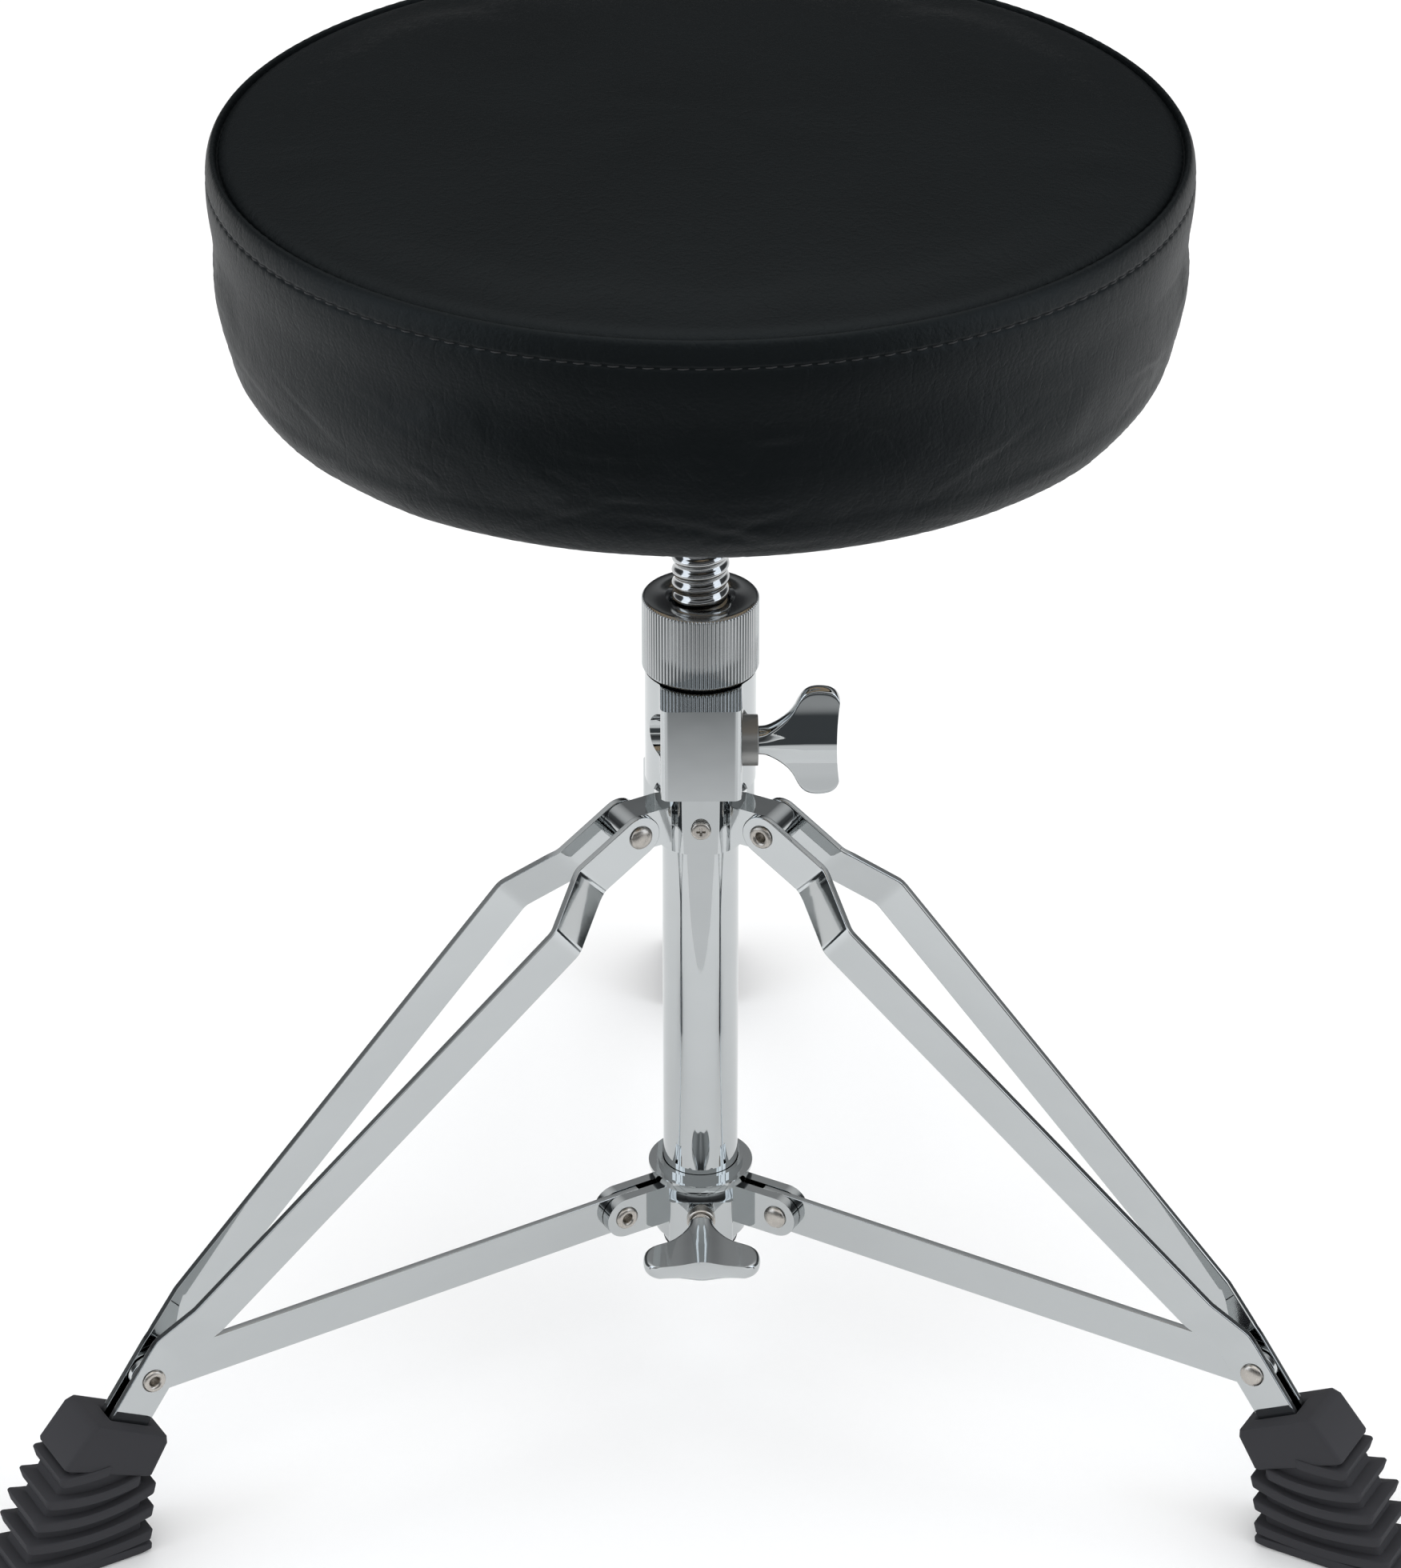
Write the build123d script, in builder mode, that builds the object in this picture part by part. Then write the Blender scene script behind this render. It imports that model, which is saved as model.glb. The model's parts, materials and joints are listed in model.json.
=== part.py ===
from build123d import *
import os
from math import atan2, cos, degrees, hypot, pi, radians, sin

# Drum throne: a padded round seat on a threaded column, over a folding three-legged base.
# Millimetres, +Z up. Everything is built about the column's axis with the floor at Z = 0, and is
# moved at the end so that the origin is the bottom centre of the whole object's box.

# ---- column -------------------------------------------------------------------------------------
tube_radius = 14.3
tube_wall = 1.5
tube_below_collar = 22.0        # how far the tube runs down past the stays' inner pivots
tube_in_housing = 10.0          # how deep the clamp housing sits on the tube's top end
spindle_radius = 10.5
thread_depth = 1.2
thread_pitch = 5.3
spindle_length = 245.0
journal_radius = 8.0            # smooth top end of the spindle, which the seat turns on
shoulder_gap = 0.5              # seat hub above the spindle's shoulder
shoulder_height = 3.0           # plain shoulder above the thread
journal_chamfer = 1.0
retainer_groove_depth = 1.2     # groove in the journal for the seat's retaining screw
retainer_groove_height = 7.0
retainer_groove_slope = 0.5
retainer_height = 14.0          # retaining screw above the shoulder
spindle_end_gap = 1.0           # spindle's end under the seat board
column_gap = 93.6               # from the height nut's top to the underside of the seat, at rest
shaft_fit = 0.08                # running clearance on a radius
thread_clearance = 0.3
guide_length = 30.0             # plastic guide in the tube's top
plug_depth = 12.0               # end plug in the tube's bottom
plug_wall = 2.0
plug_rim = 1.5
plug_edge = 0.8

# ---- seat ---------------------------------------------------------------------------------------
seat_radius = 171.0
seat_height = 85.0              # underside to top seam
seat_crown = 9.0                # top seam to the middle of the top
seat_corner = 18.0              # rounding at the bottom edge
seat_taper = 4.0                # how much narrower the side is at the bottom
seam_inset = 3.5                # top seam inside the widest point
belly_drop = 9.5                # widest point below the top seam
cover_thickness = 1.2
cover_turn_under = 34.0         # how far the cover reaches in under the board
board_radius = 150.0
board_thickness = 12.0
layer_clearance = 0.05
hub_radius = 14.0
hub_length = 42.0
hub_plate_radius = 55.0
hub_plate_thickness = 3.0
seat_screw_circle = 40.0
seat_screw_radius = 3.0
seat_screw_count = 4
seat_screw_start = 45.0         # angle of the first seat screw
seat_screw_plate_fit = 0.2
seat_screw_head = 5.8           # across a corner, from its middle
seat_screw_head_height = 4.0
tee_barrel_wall = 1.15
tee_barrel_fit = 0.05
tee_barrel_length = 9.0
tee_flange_radius = 9.0
tee_flange = 1.2
tee_foam_clearance = 1.0
gusset_count = 4
gusset_reach = 18.0             # hub's gussets, out from its wall
gusset_height = 24.0
gusset_thickness = 3.0
retainer_radius = 3.0
retainer_fit = 0.05
retainer_head_radius = 5.0
retainer_head_height = 5.0
retainer_head_gap = 0.3
retainer_socket = 2.2

# ---- height nut, washer and clamp housing -------------------------------------------------------
nut_radius = 21.4
nut_height = 28.8
nut_flutes = 92
flute_depth = 0.45
nut_chamfer = 0.9
washer_radius = 18.0
washer_thickness = 0.6
housing_radius = 20.5
housing_height = 45.2
block_width = 29.5
block_front = 35.0              # front face of the clamp block, from the column's axis
block_height = 37.0
block_corner = 3.0
block_inner_corner = 4.0        # hollow between the block and the round body
clamp_bore_radius = 9.5
clamp_offset = 18.0             # clamp bore in front of the column's axis
clamp_height = 21.0             # clamp bore below the housing's top
jaw_clearance = 0.3             # jaw to spindle when clamped
jaw_half_gap = 4.0              # half the gap between the two jaws
jaw_outer_length = 16.8
jaw_inner_length = 9.0
clamp_screw_radius = 4.0
wing_span = 43.0
wing_length = 30.0
wing_thickness = 5.5
wing_neck_radius = 5.0
jaw_loose_fit = 0.3             # wing screw in the outer jaw, which it only pushes

# ---- leg crown ----------------------------------------------------------------------------------
crown_wall = 2.7
crown_below_pivot = 11.3
crown_above_pivot = 14.0
lug_thickness = 12.0
crown_screw_radius = 2.5
crown_screw_head = 3.75
crown_screw_head_height = 2.2
crown_screw_edge = 1.2
crown_screw_cross = 3.4
crown_screw_cross_width = 0.8
crown_screw_cross_depth = 1.2
lug_radius = 7.5

# ---- legs, stays and rivets ---------------------------------------------------------------------
leg_azimuths = (90.0, 210.0, 330.0)
leg_pivot_reach = 30.5          # leg pivot from the column's axis
strip_width = 16.0
strip_thickness = 2.5
strip_bend_radius = 7.0
head_length, head_slope = 27.0, 31.2
shin_length, shin_slope = 228.2, 40.34
toe_length, toe_slope = 56.4, 54.2
stay_pivot_along_toe = 13.0     # lower rivet, from the bend above it
spread_start = 24.0             # along the leg from its pivot, where the pair starts to spread
spread_length = 23.0            # run over which it spreads to its full width
spread_width = 21.6             # outer face of a strip from the leg's middle plane, at the widest
closing_width = 9.1             # the same where the lower joggle starts
joggle_before_toe = 18.0        # start of the lower joggle above the toe bend
stay_thickness = 2.5
stay_side_gap = 0.55            # stay to strip, at the lower rivet
lug_side_gap = 0.2              # strip to crown lug
ear_side_gap = 0.3              # stay to collar ear
collar_pivot_reach = 36.0
stay_end = 8.0                  # square end of a stay past its pivot in the collar
stay_drop = 3.2                 # lower rivet under the collar's pivots
rivet_radius = 3.0
rivet_head_radius = 4.6
rivet_head_height = 2.3
rivet_roll_height = 1.2
rivet_bore_radius = 1.9
rivet_bore_depth = 4.0
rivet_roll_top = 0.5            # rolled end's flat inside its widest point
rivet_roll_base = 0.3
stay_rivet_clearance = 0.3      # lower rivet in the stay

# ---- sliding collar -----------------------------------------------------------------------------
bush_wall = 1.6
bush_height = 25.0
bush_above_collar_foot = 1.0
bush_screw_clearance = 0.4
collar_wall = 1.9
collar_below_pivot = 16.0
collar_above_pivot = 12.0
flange_radius = 20.0
flange_height = 4.0
flange_flare = 4.0              # height over which the collar opens out under the flange
flange_lip = 1.2
mouth_radius = 16.3             # raised ring round the tube on top of the collar
mouth_height = 1.8
mouth_depth = 1.6               # how far the ring reaches down towards the bush
mouth_clearance = 0.3
boss_width = 24.4
boss_front = 24.5
boss_height = 21.5
boss_corner = 2.0
boss_above_pivot = 8.0
ear_thickness = 4.0
ear_root_gap = 0.2              # ear's root outside the bush
ear_overlap = 4.0               # how far an ear runs into the collar's wall
ear_radius = 8.3
collar_screw_radius = 4.0
pad_radius = 3.6
pad_thickness = 1.6
pad_clearance = 0.3
collar_neck_standoff = 5.5      # wing screw's head from the boss, when clamped

# ---- rubber feet --------------------------------------------------------------------------------
lower_rivet_height = 70.0       # lower rivets above the floor
foot_width = 25.0
foot_pocket_clearance = 0.1
foot_cap_above = 18.3           # top of the foot's cap below the lower rivet, along the toe
foot_cap_tilt = 28.6            # rise of the cap's top, outwards, in degrees
cap_outer_reach = 19.0          # from the toe's line to the cap's outer and inner edges
cap_inner_reach = 14.2
cap_low_reach = 15.8
cap_outer_height = 18.5
cap_inner_height = 16.9
cap_ledge = 4.7                 # first rib outside the cap
cap_ledge_drop = 2.8
heel_reach = 10.0               # floor edges of the sole from the cap's edges
toe_reach = 35.5
heel_height = 6.0
heel_bevel = 8.0
tip_reach = 3.0                 # lowest rib outside the sole
tip_height = 5.0
rib_count = 5
rib_gap = 2.6
rib_depth = 4.0
foot_pocket_end_gap = 0.4
foot_notch_width = 4.4
foot_notch_depth = 14.0

# ---- places that follow from the sizes ----------------------------------------------------------


def run(start, length, slope):
    """The point a length further out and down at a slope in degrees below the horizontal."""
    return (start[0] + length * cos(radians(slope)), start[1] - length * sin(radians(slope)))


drop = (
    head_length * sin(radians(head_slope))
    + shin_length * sin(radians(shin_slope))
    + stay_pivot_along_toe * sin(radians(toe_slope))
)
crown_pivot_z = lower_rivet_height + drop
leg_pivot = (leg_pivot_reach, crown_pivot_z)
knee = run(leg_pivot, head_length, head_slope)
ankle = run(knee, shin_length, shin_slope)
toe = run(ankle, toe_length, toe_slope)
lower_rivet = run(ankle, stay_pivot_along_toe, toe_slope)
collar_pivot = (collar_pivot_reach, lower_rivet_height + stay_drop)
stay_length = hypot(lower_rivet[0] - collar_pivot[0], lower_rivet[1] - collar_pivot[1])
stay_slope = degrees(atan2(collar_pivot[1] - lower_rivet[1], lower_rivet[0] - collar_pivot[0]))

tube_inner = tube_radius - tube_wall
tube_bottom_z = collar_pivot[1] - tube_below_collar
crown_bottom_z = crown_pivot_z - crown_below_pivot
crown_top_z = crown_pivot_z + crown_above_pivot
crown_radius = tube_radius + crown_wall
tube_top_z = crown_top_z + tube_in_housing
housing_top_z = crown_top_z + housing_height
clamp_z = housing_top_z - clamp_height
nut_bottom_z = housing_top_z + washer_thickness
nut_top_z = nut_bottom_z + nut_height
seat_bottom_z = nut_top_z + column_gap
seam_z = seat_bottom_z + seat_height
board_bottom_z = seat_bottom_z + cover_thickness
board_top_z = board_bottom_z + board_thickness
hub_plate_z = board_bottom_z - hub_plate_thickness
hub_bottom_z = hub_plate_z - hub_length
spindle_top_z = board_bottom_z - spindle_end_gap
spindle_bottom_z = spindle_top_z - spindle_length
shoulder_z = hub_bottom_z - shoulder_gap
retainer_z = shoulder_z + retainer_height
block_bottom_z = housing_top_z - block_height
collar_z = collar_pivot[1]
collar_bottom_z = collar_z - collar_below_pivot
collar_top_z = collar_z + collar_above_pivot
bore_radius = spindle_radius + thread_clearance
bush_outer = tube_radius + bush_wall

lug_half = lug_thickness / 2
strip_inner_head = lug_half + lug_side_gap
strip_outer_head = strip_inner_head + strip_thickness
strip_inner_toe = stay_thickness / 2 + stay_side_gap
strip_outer_toe = strip_inner_toe + strip_thickness
ear_inner = stay_thickness / 2 + ear_side_gap
ear_outer = ear_inner + ear_thickness
pivot_hole = rivet_radius + shaft_fit
outer_jaw_face = jaw_half_gap + jaw_outer_length
pad_back = tube_radius + pad_clearance + pad_thickness
neck_start = boss_front + collar_neck_standoff
retainer_plane = Plane.XZ.rotated((0, 0, 45))
pieces = {}


def at_azimuth(piece, azimuth):
    """A copy of a piece built in the XZ plane, turned about the column to a leg's azimuth."""
    return piece.rotate(Axis.Z, azimuth)


# ---- tube, its guide bush and its end plug ------------------------------------------------------
with BuildPart() as base_tube:
    with BuildSketch(Plane.XY.offset(tube_bottom_z)):
        Circle(tube_radius)
        Circle(tube_inner, mode=Mode.SUBTRACT)
    extrude(amount=tube_top_z - tube_bottom_z)
pieces["base_tube"] = base_tube.part

with BuildPart() as guide_bush:
    with BuildSketch(Plane.XY.offset(tube_top_z - guide_length)):
        Circle(tube_inner)
        Circle(bore_radius, mode=Mode.SUBTRACT)
    extrude(amount=guide_length)
pieces["guide_bush"] = guide_bush.part

with BuildPart() as tube_plug:
    with BuildSketch(Plane.XY.offset(tube_bottom_z)):
        Circle(tube_inner)
        Circle(tube_inner - plug_wall, mode=Mode.SUBTRACT)
    extrude(amount=plug_depth)
    with BuildSketch(Plane.XY.offset(tube_bottom_z - plug_rim)):
        Circle(tube_radius)
    extrude(amount=plug_rim)
    fillet(tube_plug.faces().sort_by(Axis.Z)[0].outer_wire().edges(), plug_edge)
pieces["tube_plug"] = tube_plug.part

# ---- leg crown with its three lugs, and the screw that holds it ---------------------------------
with BuildPart() as leg_crown:
    with BuildSketch(Plane.XY.offset(crown_bottom_z)):
        Circle(crown_radius)
    extrude(amount=crown_top_z - crown_bottom_z)
    for azimuth in leg_azimuths:
        outward = Plane.XZ.rotated((0, 0, azimuth))
        with BuildSketch(outward):
            with Locations((leg_pivot_reach, crown_pivot_z)):
                Circle(lug_radius)
            with Locations((leg_pivot_reach / 2, crown_pivot_z)):
                Rectangle(leg_pivot_reach, 2 * lug_radius)
        extrude(amount=lug_half, both=True)
        with BuildSketch(outward):
            with Locations((leg_pivot_reach, crown_pivot_z)):
                Circle(pivot_hole)
        extrude(amount=lug_half, both=True, mode=Mode.SUBTRACT)
    with BuildSketch(Plane.XY.offset(crown_bottom_z)):
        Circle(tube_radius)
    extrude(amount=crown_top_z - crown_bottom_z, mode=Mode.SUBTRACT)
    with BuildSketch(Plane.XZ.offset(tube_radius - crown_wall)):
        with Locations((0, crown_pivot_z)):
            Circle(crown_screw_radius)
    extrude(amount=3 * crown_wall, mode=Mode.SUBTRACT)
pieces["leg_crown"] = leg_crown.part

with BuildPart() as crown_screw:
    with BuildSketch(Plane.XZ.offset(tube_radius)):
        with Locations((0, crown_pivot_z)):
            Circle(crown_screw_radius)
    extrude(amount=crown_wall)
    with BuildSketch(Plane.XZ.offset(crown_radius)):
        with Locations((0, crown_pivot_z)):
            Circle(crown_screw_head)
    extrude(amount=crown_screw_head_height)
    rim = crown_screw.faces().sort_by(Axis.Y)[0]
    fillet(rim.edges(), crown_screw_edge)
    with BuildSketch(Plane(rim.center(), x_dir=(1, 0, 0), z_dir=(0, -1, 0))):
        Rectangle(crown_screw_cross, crown_screw_cross_width)
        Rectangle(crown_screw_cross_width, crown_screw_cross)
    extrude(amount=-crown_screw_cross_depth, mode=Mode.SUBTRACT)
pieces["crown_screw"] = crown_screw.part

# ---- clamp housing ------------------------------------------------------------------------------
with BuildPart() as clamp_housing:
    with BuildSketch(Plane.XY.offset(crown_top_z)):
        Circle(housing_radius)
    extrude(amount=housing_height)
    with BuildSketch(Plane.XY.offset(block_bottom_z)):
        with Locations((0, -block_front / 2)):
            Rectangle(block_width, block_front)
    extrude(amount=block_height)
    block_edges = clamp_housing.edges().filter_by(Axis.Z).group_by(Axis.Y)
    fillet(block_edges[0], block_corner)
    beside_block = clamp_housing.edges().filter_by(Axis.Z).filter_by_position(
        Axis.X, -block_width / 2, block_width / 2
    )
    inner_corners = beside_block.filter_by_position(Axis.Y, -housing_radius, 0)
    fillet(inner_corners, block_inner_corner)
    with BuildSketch(Plane.XY.offset(crown_top_z)):
        Circle(bore_radius)
    extrude(amount=housing_height, mode=Mode.SUBTRACT)
    with BuildSketch(Plane.XY.offset(crown_top_z)):
        Circle(tube_radius)
    extrude(amount=tube_in_housing, mode=Mode.SUBTRACT)
    with BuildSketch(Plane.YZ):
        with Locations((-clamp_offset, clamp_z)):
            Circle(clamp_bore_radius)
    extrude(amount=block_front, both=True, mode=Mode.SUBTRACT)
pieces["clamp_housing"] = clamp_housing.part


def clamp_jaw(start, length, hole_radius):
    """A round wedge in the clamp bore, hollowed to the spindle, from X = start along +X or -X."""
    with BuildPart() as jaw:
        with BuildSketch(Plane.YZ.offset(start)):
            with Locations((-clamp_offset, clamp_z)):
                Circle(clamp_bore_radius - shaft_fit)
        extrude(amount=length)
        with BuildSketch(Plane.YZ.offset(start)):
            with Locations((-clamp_offset, clamp_z)):
                Circle(hole_radius)
        extrude(amount=length, mode=Mode.SUBTRACT)
        with BuildSketch(Plane.XY.offset(clamp_z)):
            Circle(spindle_radius + jaw_clearance)
        extrude(amount=2 * clamp_bore_radius, both=True, mode=Mode.SUBTRACT)
    return jaw.part


pieces["clamp_jaw_outer"] = clamp_jaw(jaw_half_gap, jaw_outer_length, clamp_screw_radius + jaw_loose_fit)
pieces["clamp_jaw_inner"] = clamp_jaw(-jaw_half_gap, -jaw_inner_length, clamp_screw_radius + shaft_fit)


def wing_screw(origin, direction, wings, shank):
    """A wing screw: neck start at origin, head along direction, shank behind it, wings along a vector."""
    side = Plane(origin, x_dir=direction, z_dir=Vector(*direction).cross(Vector(*wings)))
    half = wing_span / 2
    with BuildPart() as screw:
        with BuildSketch(side):
            with BuildLine():
                upper = Spline(
                    (0, wing_neck_radius),
                    (wing_length * 0.3, half * 0.42),
                    (wing_length * 0.5, half * 0.80),
                    (wing_length * 0.74, half),
                    (wing_length * 0.99, half * 0.74),
                    (wing_length * 0.95, 0),
                    tangents=((1, 0.15), (0, -1)),
                )
                mirror(upper, about=Plane.XZ)
                Line((0, -wing_neck_radius), (0, wing_neck_radius))
            make_face()
        extrude(amount=wing_thickness / 2, both=True)
        with BuildSketch(side):
            with BuildLine():
                Polyline(
                    (0, 0),
                    (0, wing_neck_radius),
                    (wing_length * 0.35, wing_neck_radius * 0.95),
                    (wing_length * 0.6, wing_thickness / 2),
                    (wing_length * 0.6, 0),
                    close=True,
                )
            make_face()
        revolve(axis=Axis(origin, direction))
        with BuildSketch(Plane(origin, z_dir=direction)):
            Circle(clamp_screw_radius)
        extrude(amount=-shank)
    return screw.part


clamp_shank = outer_jaw_face + jaw_half_gap + jaw_inner_length
pieces["clamp_wing_screw"] = wing_screw(
    (outer_jaw_face, -clamp_offset, clamp_z), (1, 0, 0), (0, 0, 1), clamp_shank
)

# ---- washer and height nut ----------------------------------------------------------------------
with BuildPart() as nut_washer:
    with BuildSketch(Plane.XY.offset(housing_top_z)):
        Circle(washer_radius)
        Circle(bore_radius, mode=Mode.SUBTRACT)
    extrude(amount=washer_thickness)
pieces["nut_washer"] = nut_washer.part

flute_angle = 2 * pi / nut_flutes
with BuildPart() as height_nut:
    with BuildSketch(Plane.XY.offset(nut_bottom_z)):
        with BuildLine():
            crests = []
            for flute in range(nut_flutes):
                for share, radius in ((0.0, nut_radius), (0.55, nut_radius), (0.775, nut_radius - flute_depth)):
                    angle = (flute + share) * flute_angle
                    crests.append((radius * cos(angle), radius * sin(angle)))
            Polyline(*crests, close=True)
        make_face()
    extrude(amount=nut_height)
    with BuildSketch(Plane.XZ):
        with BuildLine():
            Polyline(
                (bore_radius, nut_bottom_z),
                (nut_radius - nut_chamfer, nut_bottom_z),
                (nut_radius, nut_bottom_z + nut_chamfer),
                (nut_radius, nut_top_z - nut_chamfer),
                (nut_radius - nut_chamfer, nut_top_z),
                (bore_radius, nut_top_z),
                close=True,
            )
        make_face()
    revolve(mode=Mode.INTERSECT)
pieces["height_nut"] = height_nut.part

# ---- threaded spindle ---------------------------------------------------------------------------
# The thread is drawn as rings, so that a straight slide of the spindle can't foul the nut.
thread_top_z = shoulder_z - shoulder_height
ring_count = int((thread_top_z - spindle_bottom_z - 1.5 * thread_pitch) / thread_pitch)
core_radius = spindle_radius - thread_depth
groove_radius = journal_radius - retainer_groove_depth
groove_bottom_z = retainer_z - retainer_groove_height / 2
groove_top_z = retainer_z + retainer_groove_height / 2
with BuildPart() as spindle:
    with BuildSketch(Plane.XZ):
        with BuildLine():
            outline = [(0, spindle_bottom_z), (core_radius, spindle_bottom_z)]
            for ring in range(ring_count):
                low = thread_top_z - (ring_count - ring) * thread_pitch
                outline.append((core_radius, low + 0.15 * thread_pitch))
                outline.append((spindle_radius, low + 0.4 * thread_pitch))
                outline.append((spindle_radius, low + 0.75 * thread_pitch))
                outline.append((core_radius, low + thread_pitch))
            outline += [
                (core_radius, shoulder_z),
                (journal_radius, shoulder_z),
                (journal_radius, groove_bottom_z - retainer_groove_slope),
                (groove_radius, groove_bottom_z),
                (groove_radius, groove_top_z),
                (journal_radius, groove_top_z + retainer_groove_slope),
                (journal_radius, spindle_top_z - journal_chamfer),
                (journal_radius - journal_chamfer, spindle_top_z),
                (0, spindle_top_z),
            ]
            Polyline(*outline, close=True)
        make_face()
    revolve()
pieces["spindle"] = spindle.part

# ---- seat hub, its retaining screw, the board, its tee nuts and screws --------------------------
with BuildPart() as seat_hub:
    with BuildSketch(Plane.XY.offset(hub_plate_z)):
        Circle(hub_plate_radius)
        with PolarLocations(seat_screw_circle, seat_screw_count, start_angle=seat_screw_start):
            Circle(seat_screw_radius + seat_screw_plate_fit, mode=Mode.SUBTRACT)
    extrude(amount=hub_plate_thickness)
    with BuildSketch(Plane.XY.offset(hub_bottom_z)):
        Circle(hub_radius)
    extrude(amount=hub_length)
    for gusset in range(gusset_count):
        with BuildSketch(Plane.XZ.rotated((0, 0, 360 * gusset / gusset_count))):
            with BuildLine():
                Polyline(
                    (journal_radius + shaft_fit, hub_plate_z),
                    (hub_radius + gusset_reach, hub_plate_z),
                    (hub_radius, hub_plate_z - gusset_height),
                    (journal_radius + shaft_fit, hub_plate_z - gusset_height),
                    close=True,
                )
            make_face()
        extrude(amount=gusset_thickness / 2, both=True)
    with BuildSketch(Plane.XY.offset(hub_bottom_z)):
        Circle(journal_radius + shaft_fit)
    extrude(amount=hub_length + hub_plate_thickness, mode=Mode.SUBTRACT)
    with BuildSketch(retainer_plane):
        with Locations((0, retainer_z)):
            Circle(retainer_radius)
    extrude(amount=2 * hub_radius, mode=Mode.SUBTRACT)
pieces["seat_hub"] = seat_hub.part

retainer_tip = (journal_radius + groove_radius) / 2
with BuildPart() as retaining_screw:
    with BuildSketch(retainer_plane.offset(retainer_tip)):
        with Locations((0, retainer_z)):
            Circle(retainer_radius - retainer_fit)
    extrude(amount=hub_radius + 2 * retainer_head_gap - retainer_tip)
    with BuildSketch(retainer_plane.offset(hub_radius + retainer_head_gap)):
        with Locations((0, retainer_z)):
            Circle(retainer_head_radius)
            RegularPolygon(retainer_socket, 6, mode=Mode.SUBTRACT)
    extrude(amount=retainer_head_height)
pieces["retaining_screw"] = retaining_screw.part

with BuildPart() as seat_board:
    with BuildSketch(Plane.XY.offset(board_bottom_z)):
        Circle(board_radius)
        with PolarLocations(seat_screw_circle, seat_screw_count, start_angle=seat_screw_start):
            Circle(seat_screw_radius + tee_barrel_wall + tee_barrel_fit, mode=Mode.SUBTRACT)
    extrude(amount=board_thickness)
pieces["seat_board"] = seat_board.part

with BuildPart() as tee_nuts:
    with BuildSketch(Plane.XY.offset(board_top_z)):
        with PolarLocations(seat_screw_circle, seat_screw_count, start_angle=seat_screw_start):
            Circle(tee_flange_radius)
            Circle(seat_screw_radius, mode=Mode.SUBTRACT)
    extrude(amount=tee_flange)
    with BuildSketch(Plane.XY.offset(board_top_z - tee_barrel_length)):
        with PolarLocations(seat_screw_circle, seat_screw_count, start_angle=seat_screw_start):
            Circle(seat_screw_radius + tee_barrel_wall)
            Circle(seat_screw_radius, mode=Mode.SUBTRACT)
    extrude(amount=tee_barrel_length)
pieces["tee_nuts"] = tee_nuts.part

with BuildPart() as seat_screws:
    with BuildSketch(Plane.XY.offset(hub_plate_z)):
        with PolarLocations(seat_screw_circle, seat_screw_count, start_angle=seat_screw_start):
            Circle(seat_screw_radius)
    extrude(amount=hub_plate_thickness + board_thickness)
    with BuildSketch(Plane.XY.offset(hub_plate_z)):
        with PolarLocations(seat_screw_circle, seat_screw_count, start_angle=seat_screw_start):
            RegularPolygon(seat_screw_head, 6)
    extrude(amount=-seat_screw_head_height)
pieces["seat_screws"] = seat_screws.part


# ---- cushion: cover and foam --------------------------------------------------------------------
def seat_section(inset):
    """Half the cushion's section on the XZ plane, drawn in by inset from the outside of the cover."""
    low_radius = seat_radius - seat_taper
    seam_radius = seat_radius - seam_inset
    with BuildSketch(Plane.XZ) as section:
        with BuildLine():
            Polyline(
                (-seam_radius, seam_z),
                (-seat_radius, seam_z - belly_drop),
                (-low_radius, seat_bottom_z),
                (low_radius, seat_bottom_z),
                (seat_radius, seam_z - belly_drop),
                (seam_radius, seam_z),
            )
            ThreePointArc((seam_radius, seam_z), (0, seam_z + seat_crown), (-seam_radius, seam_z))
        make_face()
        fillet(section.vertices().group_by(Axis.Y)[0], seat_corner)
        if inset > 0:
            offset(amount=-inset, mode=Mode.REPLACE)
        with Locations((seat_radius, seat_bottom_z + seat_height / 2)):
            Rectangle(2 * seat_radius, 3 * seat_height, mode=Mode.INTERSECT)
    return section.sketch


with BuildPart() as seat_cover:
    add(seat_section(0))
    revolve()
    add(seat_section(cover_thickness))
    revolve(mode=Mode.SUBTRACT)
    with BuildSketch(Plane.XY.offset(seat_bottom_z - cover_thickness)):
        Circle(board_radius - cover_turn_under)
    extrude(amount=3 * cover_thickness, mode=Mode.SUBTRACT)
pieces["seat_cover"] = seat_cover.part

with BuildPart() as seat_foam:
    add(seat_section(cover_thickness + layer_clearance))
    revolve()
    with BuildSketch(Plane.XY.offset(seat_bottom_z)):
        Circle(board_radius + layer_clearance)
    extrude(amount=board_top_z - seat_bottom_z, mode=Mode.SUBTRACT)
    with BuildSketch(Plane.XY.offset(board_top_z)):
        with PolarLocations(seat_screw_circle, seat_screw_count, start_angle=seat_screw_start):
            Circle(tee_flange_radius + tee_foam_clearance)
    extrude(amount=tee_flange + tee_foam_clearance, mode=Mode.SUBTRACT)
pieces["seat_foam"] = seat_foam.part

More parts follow.
